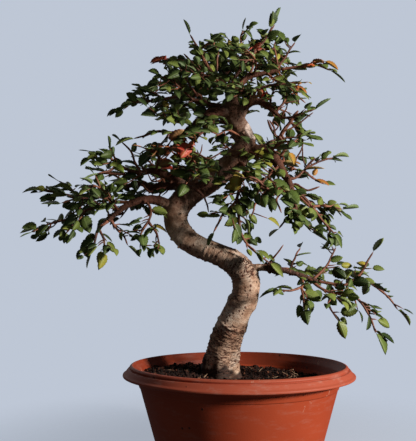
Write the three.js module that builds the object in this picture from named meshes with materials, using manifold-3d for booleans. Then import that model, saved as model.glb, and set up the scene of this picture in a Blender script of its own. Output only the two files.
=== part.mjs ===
// A Chinese elm bonsai in a round plastic bowl. Millimetres, +Z up, +X to the viewer's right, +Y away
// from the viewer, with the origin at the centre of the bowl's flat base.
import * as THREE from "three";
import { mergeVertices } from "three/addons/utils/BufferGeometryUtils.js";
import Module from "manifold-3d";

// The gap that neighbouring solids keep where one is seated in or on another.
const SEAT_GAP = 0.3;
// Fusing leaves slivers along flat faces, which are merged within this distance.
const SMOOTH_WITHIN = 0.02;

// Bowl: a tapered body, a rounded foot and a band that flares out and down from the mouth.
const BOWL_HEIGHT = 72;
const LIP_RADIUS = 90;
const MOUTH_RADIUS = 82.5;
const BAND_DROP = 7.7;
const NECK_RADIUS = 79;
const FOOT_RADIUS = 54;
const FOOT_ROUNDING = 9;
const WALL = 2.6;
const BOWL_SIDES = 36;

// Soil: higher at the left, cloddy on top, with chips of bark lying in it.
const SOIL_AT_TRUNK = 60;
const SOIL_TILT = 0.05;
const CLOD_HEIGHT = 1.5;
const SOIL_RINGS = 8;
const BARK_CHIPS = 12;
const CHIP_SIZE = [9, 6, 3];

// Wood.
const TRUNK_SIDES = 10;
const TRUNK_STEP = 10;
const BOUGH_SIDES = 5;
const BOUGH_STEP = 12;
const STEM_SIDES = 3;
const STEM_STEP = 14;
const ROOT_LOBES = 5;
const ROOT_LOBE_SIZE = 0.13;
const FLARE_TOP = 100;
const BARK_UNEVENNESS = 0.05;

// Leaves: small, oval and saw-toothed, in two ranks along each twig and one straight on at its tip.
const LEAF_THICKNESS = 0.6;
const LEAF_LENGTH = [11, 17];
const LEAF_WIDTH = 0.5;
const LEAF_SPACING = 14;
const LEAF_CLEARANCE = 0.25;
const LEAF_TRIES = 6;
const ROOT_DEPTH = 0.1;
const BARE_SHARE = 0.22;
// One half of the outline from stalk to tip, as shares of the leaf's width and length.
const TOOTHED_EDGE = [
  [0.5, 0.36],
  [0.36, 0.48],
  [0.38, 0.72],
];

// The trunk from its foot in the soil to its top: [x, y, z, radius].
const TRUNK = [
  [-14, 9, 32, 13], [-12, 8, 56, 16], [-13, 6, 72, 14.5], [-10, 3, 87, 13], [-5, -1, 101, 11.8],
  [1, -5, 115, 10.8], [6, -8, 127, 10.8], [6, -9, 139, 11], [-2, -8, 150, 10.2], [-15, -6, 157, 9.2],
  [-31, -3, 164, 9], [-44, -1, 173, 9.3], [-50, 1, 185, 9.8], [-49, 3, 197, 10], [-40, 6, 208, 10],
  [-26, 9, 219, 10.2], [-11, 11, 230, 10.2], [1, 11, 241, 9.8], [8.5, 10, 252, 9.2], [5, 8, 263, 8.8],
  [0, 7, 273, 8], [-3, 5, 285, 6.4], [-4, 4, 296, 4.4], [-4, 4, 304, 2.6],
];

// Thick boughs, one grown piece with the trunk: radius at the fork, radius at the end and the way between.
const BOUGHS = {
  sawn_stub: { from: 8.8, to: 8.4, route: [[3.5, 11, 256.5], [7.5, 8.2, 259.5], [11.5, 5.5, 262]] },
  low_left: { from: 4.6, to: 1.6, route: [
    [-53, 1, 198], [-65, -3, 202], [-76, -6, 202], [-87, -9, 198], [-96, -12, 191], [-103, -15, 183],
  ] },
  mid_left: { from: 4.2, to: 1.5, route: [
    [-45, 5, 216], [-59, 8, 216], [-71, 10, 215], [-81, 14, 220], [-93, 18, 218], [-107, 22, 215],
  ] },
  up_left: { from: 3.8, to: 1.5, route: [
    [-44, 4, 217], [-56, -2, 222], [-69, -7, 226], [-78, -11, 223], [-89, -15, 225],
  ] },
  low_right: { from: 3.4, to: 1.5, route: [
    [5, -9, 145], [16, -11, 147], [27, -12, 146], [38, -14, 144], [51, -15, 140], [62, -15, 136],
  ] },
  mid_right: { from: 7, to: 2, route: [
    [4, 11, 243], [15, 8, 246], [25, 4, 244], [32, 0, 237], [37, -5, 226], [42, -10, 215],
    [45, -13, 203],
  ] },
  high_right: { from: 4.2, to: 1.8, route: [
    [3, 6, 275], [10, 4, 286], [19, 2, 288], [28, 0, 282], [37, -3, 272],
  ] },
  top_right: { from: 3.6, to: 1.5, route: [
    [-3, 4, 292], [4, 3, 304], [12, 1, 310], [26, -1, 312], [38, -4, 314],
  ] },
  top_left: { from: 3.4, to: 1.5, route: [[-4, 4, 294], [-11, 2, 303], [-20, 0, 312], [-27, -2, 322]] },
  high_left: { from: 3.6, to: 1.5, route: [
    [0, 6, 278], [-9, 6, 284], [-22, 8, 287], [-35, 11, 292], [-49, 14, 297],
  ] },
  dark_left: { from: 5.2, to: 1.7, route: [
    [1, 6, 276], [-8, 4, 279], [-19, 0, 276], [-29, -5, 271], [-37, -10, 262], [-45, -14, 255],
  ] },
};

// Leafy sprays, each with its main stem first and then the shoots that leave it.
const SPRAYS = {
  low_left_tip: [
    { from: 1.5, to: 0.9, route: [
      [-87, -9, 199], [-97, -7, 200], [-110, -4, 197], [-124, -1, 194], [-137, 2, 188], [-153, 4, 184],
      [-168, 5, 179],
    ] },
    { from: 1.1, to: 0.9, route: [
      [-110, -4, 197], [-120, -10, 202], [-130, -15, 201], [-139, -19, 197],
    ] },
    { from: 1.1, to: 0.9, route: [[-124, -1, 194], [-129, -6, 184], [-137, -10, 178]] },
  ],
  low_left_down: [
    { from: 1.2, to: 0.9, route: [
      [-103, -15, 183], [-109, -19, 177], [-111, -22, 168], [-114, -24, 157],
    ] },
    { from: 1.1, to: 0.9, route: [[-109, -19, 177], [-104, -24, 167], [-103, -27, 158]] },
  ],
  low_left_twig: [
    { from: 1.1, to: 0.9, route: [[-101, -14, 185], [-96, -12, 177], [-91, -9, 172], [-88, -7, 165]] },
  ],
  low_left_up: [
    { from: 1.1, to: 0.9, route: [
      [-95, -12, 192], [-100, -21, 199], [-105, -29, 206], [-112, -34, 209],
    ] },
  ],
  low_left_hang: [
    { from: 1.1, to: 0.9, route: [
      [-74, -5, 202], [-69, -12, 190], [-73, -17, 179], [-77, -20, 169], [-72, -22, 163],
    ] },
    { from: 1.1, to: 0.9, route: [[-71, -15, 183], [-64, -20, 173], [-61, -23, 164]] },
  ],
  mid_left_tip: [
    { from: 1.3, to: 0.9, route: [
      [-107, 22, 215], [-124, 27, 212], [-140, 31, 212], [-157, 34, 215], [-174, 36, 218],
    ] },
    { from: 1.1, to: 0.9, route: [[-124, 27, 212], [-132, 34, 203], [-144, 40, 198]] },
    { from: 1.1, to: 0.9, route: [[-140, 31, 212], [-149, 38, 222], [-160, 44, 228]] },
  ],
  mid_left_back: [
    { from: 1.1, to: 0.9, route: [[-93, 18, 218], [-103, 30, 228], [-115, 42, 236], [-128, 52, 240]] },
  ],
  mid_left_under: [
    { from: 1.1, to: 0.9, route: [[-81, 14, 220], [-88, 24, 212], [-94, 32, 202], [-102, 38, 193]] },
  ],
  up_left_tip: [
    { from: 1.2, to: 0.9, route: [
      [-89, -15, 225], [-96, -18, 229], [-103, -21, 234], [-114, -24, 237],
    ] },
    { from: 1.1, to: 0.9, route: [[-96, -18, 229], [-100, -26, 222], [-108, -32, 218]] },
  ],
  up_left_top: [
    { from: 1.1, to: 0.9, route: [[-78, -10, 224], [-84, -6, 234], [-88, -3, 244], [-96, 0, 252]] },
  ],
  up_left_red: [
    { from: 1.1, to: 0.9, route: [[-66, -6, 225], [-64, -18, 231], [-59, -27, 236], [-53, -34, 242]] },
    { from: 1.1, to: 0.9, route: [[-62, -22, 233], [-67, -30, 236], [-73, -36, 237]] },
  ],
  up_left_back: [
    { from: 1.1, to: 0.9, route: [[-59, 9, 216], [-66, 22, 231], [-76, 34, 243], [-86, 44, 253]] },
  ],
  dark_left_tip: [
    { from: 1.3, to: 0.9, route: [
      [-45, -14, 255], [-54, -17, 255], [-64, -20, 255], [-74, -22, 251], [-82, -24, 248],
    ] },
    { from: 1.1, to: 0.9, route: [[-54, -17, 255], [-60, -20, 246], [-68, -20, 238]] },
  ],
  dark_left_top: [
    { from: 1.1, to: 0.9, route: [[-37, -10, 262], [-45, -18, 266], [-54, -26, 267], [-63, -32, 264]] },
  ],
  dark_left_front: [
    { from: 1.1, to: 0.9, route: [[-27, -4, 272], [-26, -18, 258], [-31, -30, 248], [-37, -38, 240]] },
  ],
  high_left_tip: [
    { from: 1.3, to: 0.9, route: [
      [-49, 14, 297], [-63, 18, 296], [-79, 22, 295], [-91, 25, 296], [-104, 28, 290],
    ] },
    { from: 1.1, to: 0.9, route: [[-63, 18, 296], [-74, 26, 306], [-86, 32, 313]] },
  ],
  high_left_front: [
    { from: 1.1, to: 0.9, route: [[-36, 11, 292], [-45, 0, 297], [-54, -8, 302], [-63, -14, 304]] },
  ],
  high_left_back: [
    { from: 1.2, to: 0.9, route: [[-33, 11, 291], [-42, 28, 303], [-52, 44, 312], [-60, 58, 320]] },
    { from: 1.1, to: 0.9, route: [[-44, 32, 305], [-53, 42, 300], [-63, 50, 295]] },
  ],
  top_left_tip: [
    { from: 1.2, to: 0.9, route: [[-27, -2, 322], [-31, -4, 331], [-36, -5, 339], [-39, -6, 344]] },
    { from: 1.1, to: 0.9, route: [[-31, -4, 331], [-24, -10, 334], [-17, -15, 335]] },
  ],
  top_left_side: [
    { from: 1.1, to: 0.9, route: [[-23, -1, 315], [-33, 6, 322], [-45, 12, 329], [-61, 17, 333]] },
  ],
  top_left_front: [
    { from: 1.1, to: 0.9, route: [[-19, 0, 310], [-28, -13, 304], [-37, -24, 303], [-44, -32, 300]] },
  ],
  apex_tip: [
    { from: 1.8, to: 0.9, route: [
      [-4, 4, 302], [2, 5, 314], [11, 6, 327], [21, 6, 339], [28, 5, 348], [34, 4, 358],
    ] },
    { from: 1.1, to: 0.9, route: [[11, 6, 327], [6, 2, 336], [4, -2, 343], [6, -4, 349]] },
    { from: 1.1, to: 0.9, route: [[18, 6, 336], [27, 12, 339], [39, 18, 343]] },
  ],
  top_right_tip: [
    { from: 1.2, to: 0.9, route: [[38, -4, 314], [53, -7, 315], [65, -9, 316], [78, -11, 310]] },
  ],
  top_right_up: [
    { from: 1.1, to: 0.9, route: [[34, -3, 313], [41, 5, 326], [48, 11, 338], [53, 15, 347]] },
  ],
  top_right_under: [
    { from: 1.1, to: 0.9, route: [[26, -1, 312], [32, -12, 301], [40, -21, 294], [48, -28, 288]] },
  ],
  top_right_front: [
    { from: 1.1, to: 0.9, route: [[14, 1, 310], [16, -13, 313], [13, -25, 315], [7, -34, 317]] },
  ],
  top_back: [
    { from: 1.3, to: 0.9, route: [[-4, 4, 299], [-6, 20, 316], [-11, 34, 333], [-18, 46, 347]] },
    { from: 1.1, to: 0.9, route: [[-8, 25, 322], [4, 38, 335], [14, 48, 346]] },
  ],
  high_right_tip: [
    { from: 1.2, to: 0.9, route: [[37, -3, 272], [45, -7, 271], [53, -11, 273], [63, -15, 275]] },
    { from: 1.1, to: 0.9, route: [[43, -6, 271], [48, -12, 260], [55, -17, 253]] },
  ],
  high_right_up: [
    { from: 1.1, to: 0.9, route: [[33, -1, 277], [41, 9, 289], [49, 18, 300], [59, 26, 307]] },
  ],
  high_right_back: [
    { from: 1.2, to: 0.9, route: [[22, 2, 286], [29, 20, 292], [39, 38, 295], [50, 54, 297]] },
    { from: 1.1, to: 0.9, route: [[32, 26, 293], [35, 38, 308], [42, 48, 322]] },
  ],
  high_right_front: [
    { from: 1.1, to: 0.9, route: [[12, 4, 286], [12, -14, 285], [6, -28, 285], [-1, -40, 282]] },
  ],
  mid_right_tip: [
    { from: 1.2, to: 0.9, route: [[45, -13, 203], [46, -18, 192], [50, -22, 182], [56, -25, 174]] },
    { from: 1.1, to: 0.9, route: [[46, -18, 192], [38, -24, 185], [31, -28, 176]] },
  ],
  mid_right_out: [
    { from: 1.3, to: 0.9, route: [
      [43, -11, 210], [53, -10, 204], [60, -9, 196], [69, -8, 184], [78, -7, 174],
    ] },
    { from: 1.1, to: 0.9, route: [[60, -9, 196], [72, -5, 197], [86, -2, 195]] },
  ],
  mid_right_up: [
    { from: 1.2, to: 0.9, route: [
      [40, -8, 220], [48, 0, 221], [57, 6, 229], [67, 10, 236], [83, 13, 242],
    ] },
    { from: 1.1, to: 0.9, route: [[57, 6, 229], [66, 16, 225], [77, 23, 221]] },
  ],
  mid_right_front: [
    { from: 1.1, to: 0.9, route: [[35, -3, 231], [27, -18, 222], [19, -31, 212], [14, -40, 201]] },
    { from: 1.1, to: 0.9, route: [[23, -25, 217], [28, -36, 207], [34, -44, 201]] },
  ],
  mid_right_over: [
    { from: 1.1, to: 0.9, route: [[27, 3, 243], [32, -10, 246], [38, -22, 246], [46, -32, 243]] },
  ],
  mid_right_back: [
    { from: 1.4, to: 0.9, route: [[30, 2, 240], [39, 22, 242], [51, 42, 241], [65, 60, 240]] },
    { from: 1.1, to: 0.9, route: [[43, 28, 242], [46, 42, 256], [53, 54, 269]] },
  ],
  trunk_back_low: [
    { from: 1.6, to: 0.9, route: [[-34, 9, 213], [-43, 28, 222], [-55, 48, 230], [-70, 68, 236]] },
    { from: 1.1, to: 0.9, route: [[-47, 34, 225], [-46, 50, 238], [-41, 64, 249]] },
  ],
  trunk_back: [
    { from: 1.6, to: 0.9, route: [[-4, 12, 237], [1, 32, 246], [10, 52, 253], [19, 72, 263]] },
    { from: 1.1, to: 0.9, route: [[3, 38, 249], [-5, 52, 261], [-12, 64, 270]] },
  ],
  trunk_back_high: [
    { from: 1.5, to: 0.9, route: [[6, 9, 262], [0, 28, 273], [-7, 46, 282], [-14, 64, 290]] },
    { from: 1.1, to: 0.9, route: [[-4, 36, 277], [6, 48, 289], [17, 60, 299]] },
  ],
  front_hang: [
    { from: 1.8, to: 0.9, route: [
      [1, 11, 239], [6, -6, 228], [2, -18, 213], [-1, -25, 199], [0, -27, 184], [3, -26, 169],
      [13, -23, 158], [24, -20, 150],
    ] },
    { from: 1.1, to: 0.9, route: [[-1, -25, 199], [-7, -31, 191], [-13, -36, 185], [-19, -40, 172]] },
  ],
  front_left: [
    { from: 1.2, to: 0.9, route: [[-23, 9, 222], [-28, -8, 226], [-34, -22, 230], [-41, -36, 229]] },
    { from: 1.1, to: 0.9, route: [[-30, -13, 228], [-36, -27, 219], [-40, -40, 208]] },
  ],
  front_yellow: [
    { from: 1.1, to: 0.9, route: [[-1, 12, 240], [3, -6, 241], [10, -20, 238], [18, -32, 232]] },
  ],
  front_crown: [
    { from: 1.1, to: 0.9, route: [[6, 9, 256], [-1, -8, 257], [-9, -20, 256], [-17, -31, 248]] },
  ],
  low_right_tip: [
    { from: 1.3, to: 0.9, route: [
      [62, -15, 136], [73, -16, 134], [85, -16, 134], [96, -15, 143], [106, -14, 159],
    ] },
    { from: 1.1, to: 0.9, route: [
      [85, -16, 134], [97, -8, 139], [109, -3, 133], [121, 0, 124], [129, 2, 114],
    ] },
  ],
  low_right_down: [
    { from: 1.2, to: 0.9, route: [
      [55, -15, 138], [64, -21, 130], [72, -23, 127], [83, -26, 127], [90, -29, 121], [96, -31, 111],
      [100, -33, 98],
    ] },
    { from: 1.1, to: 0.9, route: [[72, -23, 127], [67, -27, 119], [73, -31, 107]] },
  ],
  low_right_under: [
    { from: 1.1, to: 0.9, route: [[50, -15, 140], [48, -22, 132], [40, -27, 129], [30, -31, 129]] },
    { from: 1.1, to: 0.9, route: [[48, -22, 132], [48, -28, 122], [48, -32, 115]] },
  ],
  low_right_up: [
    { from: 1.1, to: 0.9, route: [[59, -14, 138], [68, -7, 145], [76, -1, 155], [81, 4, 164]] },
  ],
  low_right_back: [
    { from: 1.3, to: 0.9, route: [[28, -12, 146], [39, 10, 147], [52, 30, 147], [70, 50, 144]] },
    { from: 1.1, to: 0.9, route: [[46, 20, 147], [52, 34, 157], [59, 46, 167]] },
  ],
};

// Most sprays are green. One has red young growth, one has turned yellow.
// Which set of leaves each stem of a spray bears, out of the many that the draws give.
const LEAF_SETS = {
  low_left_tip: [2, 59, 8], low_left_down: [15, 22], low_left_twig: [24], low_left_up: [46],
  low_left_hang: [0, 57], mid_left_tip: [1, 43, 35], mid_left_back: [49], mid_left_under: [38],
  up_left_tip: [33, 15], up_left_top: [53], up_left_red: [59, 33], up_left_back: [38],
  dark_left_tip: [31, 7], dark_left_top: [34], dark_left_front: [19], high_left_tip: [1, 33],
  high_left_front: [14], high_left_back: [29, 4], top_left_tip: [7, 52], top_left_side: [49],
  top_left_front: [43], apex_tip: [48, 24, 20], top_right_tip: [34], top_right_up: [50],
  top_right_under: [30], top_right_front: [2], top_back: [2, 44], high_right_tip: [14, 44],
  high_right_up: [56], high_right_back: [14, 15], high_right_front: [51], mid_right_tip: [41, 58],
  mid_right_out: [25, 9], mid_right_up: [50, 17], mid_right_front: [58, 24], mid_right_over: [47],
  mid_right_back: [13, 15], trunk_back_low: [4, 8], trunk_back: [54, 24], trunk_back_high: [14, 59],
  front_hang: [39, 12], front_left: [55, 46], front_yellow: [46], front_crown: [56],
  low_right_tip: [24, 9], low_right_down: [17, 39], low_right_under: [55, 27], low_right_up: [52],
  low_right_back: [0, 52],
};

const LEAF_COLOURS = { common: 0x4c6b2f, up_left_red: 0xa8492c, front_yellow: 0xa8962f };

const wasm = await Module();
wasm.setup();

// A repeatable row of draws between 0 and 1.
function seeded(seed) {
  let state = seed >>> 0;
  return () => {
    state = (Math.imul(state, 1664525) + 1013904223) >>> 0;
    return state / 4294967296;
  };
}

// Every leaf has draws of its own, so that no leaf changes with the tries of another.
function leafDraws(spray, stem, leaf, set) {
  const number = 4096 * set + 64 * spray + 16 * stem + leaf + 1;
  const draw = seeded(Math.imul(number, 2654435761));
  draw();
  draw();
  return draw;
}

function between(draw, low, high) {
  return low + (high - low) * draw();
}

// A closed three.js geometry as a solid that can be joined and cut.
function solidOf(geometry) {
  const bare = new THREE.BufferGeometry();
  const source = geometry.index ? geometry.toNonIndexed() : geometry;
  bare.setAttribute("position", source.getAttribute("position").clone());
  const merged = mergeVertices(bare, 1e-4);
  const corners = merged.index.array;
  const triangles = [];
  for (let i = 0; i < corners.length; i += 3) {
    const [a, b, c] = [corners[i], corners[i + 1], corners[i + 2]];
    if (a !== b && b !== c && c !== a) triangles.push(a, b, c);
  }
  return new wasm.Manifold(
    new wasm.Mesh({
      numProp: 3,
      vertProperties: new Float32Array(merged.attributes.position.array),
      triVerts: new Uint32Array(triangles),
    }),
  );
}

// The largest body of a solid, without the scraps that a cut leaves.
function mainBody(solid) {
  return solid.decompose().reduce((best, body) => (body.volume() > best.volume() ? body : best));
}

function meshOf(name, solid, colour, roughness) {
  const made = solid.getMesh();
  const geometry = new THREE.BufferGeometry();
  const stride = made.numProp;
  const positions = new Float32Array(made.numVert * 3);
  for (let i = 0; i < made.numVert; i++) {
    positions.set(made.vertProperties.subarray(i * stride, i * stride + 3), i * 3);
  }
  geometry.setAttribute("position", new THREE.BufferAttribute(positions, 3));
  geometry.setIndex(new THREE.BufferAttribute(new Uint32Array(made.triVerts), 1));
  geometry.computeVertexNormals();
  const material = new THREE.MeshStandardMaterial({ color: colour, roughness, metalness: 0 });
  const mesh = new THREE.Mesh(geometry, material);
  mesh.name = name;
  return mesh;
}

function curveThrough(route) {
  const points = route.map(([x, y, z]) => new THREE.Vector3(x, y, z));
  return new THREE.CatmullRomCurve3(points, false, "centripetal");
}

// A round rod bent along a curve. radiusAt(u) and swell(angle, centre) shape it, grow thickens it all over.
function rod(curve, radiusAt, sides, step, grow = 0, swell = () => 1) {
  const steps = Math.max(2, Math.round(curve.getLength() / step));
  const frames = curve.computeFrenetFrames(steps, false);
  const geometry = new THREE.CylinderGeometry(1, 1, 1, sides, steps);
  const position = geometry.getAttribute("position");
  const point = new THREE.Vector3();
  for (let i = 0; i < position.count; i++) {
    point.fromBufferAttribute(position, i);
    const ring = Math.round((point.y + 0.5) * steps);
    const u = ring / steps;
    const centre = curve.getPointAt(u);
    const radius = radiusAt(u) * swell(Math.atan2(point.z, point.x), centre) + grow;
    const end = ring === 0 ? -grow : ring === steps ? grow : 0;
    const [across, up] = [point.x * radius, -point.z * radius];
    centre.addScaledVector(frames.normals[ring], across);
    centre.addScaledVector(frames.binormals[ring], up);
    centre.addScaledVector(frames.tangents[ring], end);
    position.setXYZ(i, centre.x, centre.y, centre.z);
  }
  return solidOf(geometry);
}

const LIP_EDGE = BOWL_HEIGHT - BAND_DROP;
const NECK = LIP_EDGE - 4;
const INNER_BEND = LIP_EDGE + 1.7;
const BODY_FOOT_RADIUS = FOOT_RADIUS + FOOT_ROUNDING;
const BODY_SLOPE = (NECK_RADIUS - BODY_FOOT_RADIUS) / (NECK - FOOT_ROUNDING);

// The bowl's outer radius at a height between the foot's rounding and the neck under the lip.
function bodyRadius(z) {
  return BODY_FOOT_RADIUS + BODY_SLOPE * (z - FOOT_ROUNDING);
}

// The inner wall from the mouth down to the floor, drawn in by a gap: [radius, height].
function innerWall(gap) {
  return [
    [MOUTH_RADIUS - 1.4 - gap, BOWL_HEIGHT - 2.5],
    [bodyRadius(INNER_BEND) - WALL - gap, INNER_BEND],
    [bodyRadius(FOOT_ROUNDING + 1) - WALL - gap, FOOT_ROUNDING + 1],
    [FOOT_RADIUS + 3 - gap, WALL + 1.5 + gap],
    [FOOT_RADIUS - 3 - gap, WALL + gap],
    [0, WALL + gap],
  ];
}

function turned(profile) {
  const line = profile.map(([radius, height]) => new THREE.Vector2(radius, height));
  return new THREE.LatheGeometry(line, BOWL_SIDES).rotateX(Math.PI / 2);
}

function bowl() {
  const stepHeight = NECK - 5;
  const profile = [[0, 0]];
  for (const turn of [-90, -60, -30, 0].map(THREE.MathUtils.degToRad)) {
    profile.push([
      FOOT_RADIUS + FOOT_ROUNDING * Math.cos(turn),
      FOOT_ROUNDING + FOOT_ROUNDING * Math.sin(turn),
    ]);
  }
  profile.push(
    [bodyRadius(stepHeight) - 0.6, stepHeight],
    [bodyRadius(stepHeight), stepHeight + 0.6],
    [NECK_RADIUS, NECK],
    [LIP_RADIUS - 1.2, LIP_EDGE - 1],
    [LIP_RADIUS, LIP_EDGE],
    [LIP_RADIUS - 1.2, LIP_EDGE + 1.4],
    [LIP_RADIUS - 4, LIP_EDGE + 4.9],
    [LIP_RADIUS - 4.8, LIP_EDGE + 5.4],
    [MOUTH_RADIUS + 1.6, BOWL_HEIGHT - 0.5],
    [MOUTH_RADIUS, BOWL_HEIGHT],
    ...innerWall(0),
  );
  return solidOf(turned(profile));
}

// The inner wall's radius at a height between the foot's rounding and the bend under the mouth.
function innerRadius(z, gap) {
  return bodyRadius(z) - WALL - gap;
}

// The soil's surface: a gentle fall to the right with cloddy unevenness on it.
function soilHeight(x, y) {
  const acrossClods = Math.sin(0.83 * x + 2.1 * Math.sin(0.57 * y));
  const clods = acrossClods * Math.cos(0.91 * y + 1.7 * Math.sin(0.43 * x));
  return SOIL_AT_TRUNK - SOIL_TILT * x + CLOD_HEIGHT * clods;
}

// The soil fills the bowl. The trunk's foot, given as a slightly larger solid, leaves a plain hole in it.
function soil(trunkHole) {
  const top = SOIL_AT_TRUNK;
  const edge = innerRadius(top, SEAT_GAP);
  const profile = innerWall(SEAT_GAP).slice(2).reverse();
  for (let ring = SOIL_RINGS; ring >= 0; ring--) profile.push([(edge * ring) / SOIL_RINGS, top]);
  const geometry = turned(profile);
  const position = geometry.getAttribute("position");
  for (let i = 0; i < position.count; i++) {
    const [x, y, z] = [position.getX(i), position.getY(i), position.getZ(i)];
    if (z < top - 1) continue;
    const radius = Math.hypot(x, y);
    const height = soilHeight(x, y);
    const seated = radius > edge - 1 ? innerRadius(height, SEAT_GAP) / radius : 1;
    position.setXYZ(i, x * seated, y * seated, height);
  }
  let heap = solidOf(geometry);
  const draw = seeded(11);
  for (let i = 0; i < BARK_CHIPS; i++) {
    const angle = (i / BARK_CHIPS) * 2 * Math.PI + between(draw, -0.2, 0.2);
    const distance = between(draw, 30, 64);
    const [x, y] = [distance * Math.cos(angle), distance * Math.sin(angle)];
    const chip = new THREE.BoxGeometry(...CHIP_SIZE.map((size) => size * between(draw, 0.7, 1.3)));
    chip.rotateX(between(draw, -0.5, 0.5));
    chip.rotateY(between(draw, -0.5, 0.5));
    chip.rotateZ(between(draw, 0, Math.PI));
    chip.translate(x, y, soilHeight(x, y) + 0.4);
    heap = heap.add(solidOf(chip));
  }
  return mainBody(heap.subtract(trunkHole));
}

// Root flare: lobes that fade out up the trunk, and a slight unevenness of the bark everywhere.
function trunkSwell(angle, centre) {
  const flare = Math.max(0, 1 - centre.z / FLARE_TOP);
  const lobes = ROOT_LOBE_SIZE * flare * 2 * Math.cos(ROOT_LOBES * angle + 0.6);
  const bark = BARK_UNEVENNESS * Math.sin(3 * angle + 0.11 * centre.z) * Math.sin(0.19 * centre.z + angle);
  return 1 + lobes + bark;
}

// The trunk with its boughs, all thicker by the amount that is given.
function wood(grow) {
  const line = curveThrough(TRUNK);
  const radii = TRUNK.map((point) => point[3]);
  const radiusAt = (u) => {
    const along = line.getUtoTmapping(u) * (radii.length - 1);
    const before = Math.min(Math.floor(along), radii.length - 2);
    return THREE.MathUtils.lerp(radii[before], radii[before + 1], along - before);
  };
  let tree = rod(line, radiusAt, TRUNK_SIDES, TRUNK_STEP, grow, trunkSwell);
  for (const { from, to, route } of Object.values(BOUGHS)) {
    const taper = (u) => THREE.MathUtils.lerp(from, to, u);
    tree = tree.add(rod(curveThrough(route), taper, BOUGH_SIDES, BOUGH_STEP, grow));
  }
  return mainBody(tree);
}

// A leaf's toothed outline, extruded: it grows along its own +Y from the root, with +Z out of its upper face.
function leafSolid({ root, direction, normal, length }) {
  const right = TOOTHED_EDGE.map(([across, along]) => [across * LEAF_WIDTH, along]);
  const left = right.map(([across, along]) => [-across, along]).reverse();
  const outline = [[0, 0], ...right, [0, 1], ...left];
  const shape = new THREE.Shape(outline.map(([x, y]) => new THREE.Vector2(x * length, y * length)));
  const blade = new THREE.ExtrudeGeometry(shape, { depth: LEAF_THICKNESS, bevelEnabled: false });
  blade.translate(0, 0, -LEAF_THICKNESS / 2);
  const across = new THREE.Vector3().crossVectors(direction, normal);
  const place = new THREE.Matrix4().makeBasis(across, direction, normal).setPosition(root);
  return solidOf(blade.applyMatrix4(place));
}

// One leaf's place on a twig: u along it, on the left or right rank, or straight on at the tip.
function leafAt(curve, u, rank, draw) {
  const forward = curve.getTangentAt(u);
  const sky = new THREE.Vector3(0.1, -0.45, 1);
  sky.addScaledVector(forward, -sky.dot(forward)).normalize();
  const side = new THREE.Vector3().crossVectors(forward, sky);
  const spread = rank === 0 ? between(draw, -0.2, 0.2) : rank * between(draw, 0.75, 1.15);
  const direction = forward.clone().multiplyScalar(Math.cos(spread));
  direction.addScaledVector(side, Math.sin(spread));
  direction.addScaledVector(sky, between(draw, -0.25, 0.35)).normalize();
  const normal = sky.applyAxisAngle(direction, between(draw, -0.7, 0.7));
  normal.addScaledVector(direction, -normal.dot(direction)).normalize();
  const root = curve.getPointAt(u).addScaledVector(direction, -ROOT_DEPTH);
  return { root, direction, normal, length: between(draw, ...LEAF_LENGTH) };
}

// Whether a solid keeps clear of every other one.
function isClear(solid, others, gap) {
  const box = solid.boundingBox();
  return others.every((other) => {
    const apart = [0, 1, 2].some(
      (k) => box.min[k] > other.box.max[k] + gap || box.max[k] < other.box.min[k] - gap,
    );
    return apart || solid.minGap(other.solid, gap) >= gap;
  });
}

function boxed(solid) {
  return { solid, box: solid.boundingBox() };
}

const timber = wood(0);
const timberHole = wood(SEAT_GAP);
const pot = bowl();
const earth = soil(timberHole);

const twigs = {};
for (const [name, stems] of Object.entries(SPRAYS)) {
  let wooden = null;
  for (const { from, to, route } of stems) {
    const taper = (u) => THREE.MathUtils.lerp(from, to, u);
    const stem = rod(curveThrough(route), taper, STEM_SIDES, STEM_STEP);
    wooden = wooden ? wooden.add(stem) : stem;
  }
  twigs[name] = mainBody(wooden.subtract(timberHole));
}

// Leaves are set along every stem in turn. Each is turned a little until it clears what is there.
const taken = [timber, pot, earth].map(boxed);
const sprays = {};
Object.entries(SPRAYS).forEach(([name, stems], index) => {
  const otherNames = Object.keys(twigs).filter((other) => other !== name);
  const otherTwigs = otherNames.map((other) => boxed(twigs[other]));
  let spray = twigs[name];
  stems.forEach(({ route }, stem) => {
    const curve = curveThrough(route);
    const length = curve.getLength();
    const first = BARE_SHARE * length;
    const count = Math.round((length - first) / LEAF_SPACING);
    for (let i = 0; i <= count; i++) {
      const draw = leafDraws(index, stem, i, LEAF_SETS[name][stem]);
      const u = Math.min(1, (first + ((length - first) * i) / Math.max(1, count)) / length);
      const rank = i === count ? 0 : i % 2 ? 1 : -1;
      for (let attempt = 0; attempt < LEAF_TRIES; attempt++) {
        const leaf = leafSolid(leafAt(curve, u, rank, draw));
        if (!isClear(leaf, [...taken, ...otherTwigs], LEAF_CLEARANCE)) continue;
        taken.push(boxed(leaf));
        spray = spray.add(leaf);
        break;
      }
    }
  });
  sprays[name] = mainBody(spray).asOriginal().simplify(SMOOTH_WITHIN);
});

const bonsai = new THREE.Group();
bonsai.add(meshOf("pot", pot, 0xb4492f, 0.45));
bonsai.add(meshOf("soil", earth, 0x3b2a20, 0.95));
bonsai.add(meshOf("trunk", timber, 0x8a7a68, 0.85));
for (const [name, spray] of Object.entries(sprays)) {
  bonsai.add(meshOf(name, spray, LEAF_COLOURS[name] ?? LEAF_COLOURS.common, 0.5));
}

export default bonsai;
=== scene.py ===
"""A Chinese elm bonsai in a round terracotta-coloured bowl.

The bowl, the soil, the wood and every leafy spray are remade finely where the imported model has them.
Lengths are in metres. The routes of the wood are given in millimetres from the bowl's base."""

import bisect
import math
from collections import namedtuple

import bmesh
import bpy
from mathutils import Euler, Matrix, Vector, kdtree, noise


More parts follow.
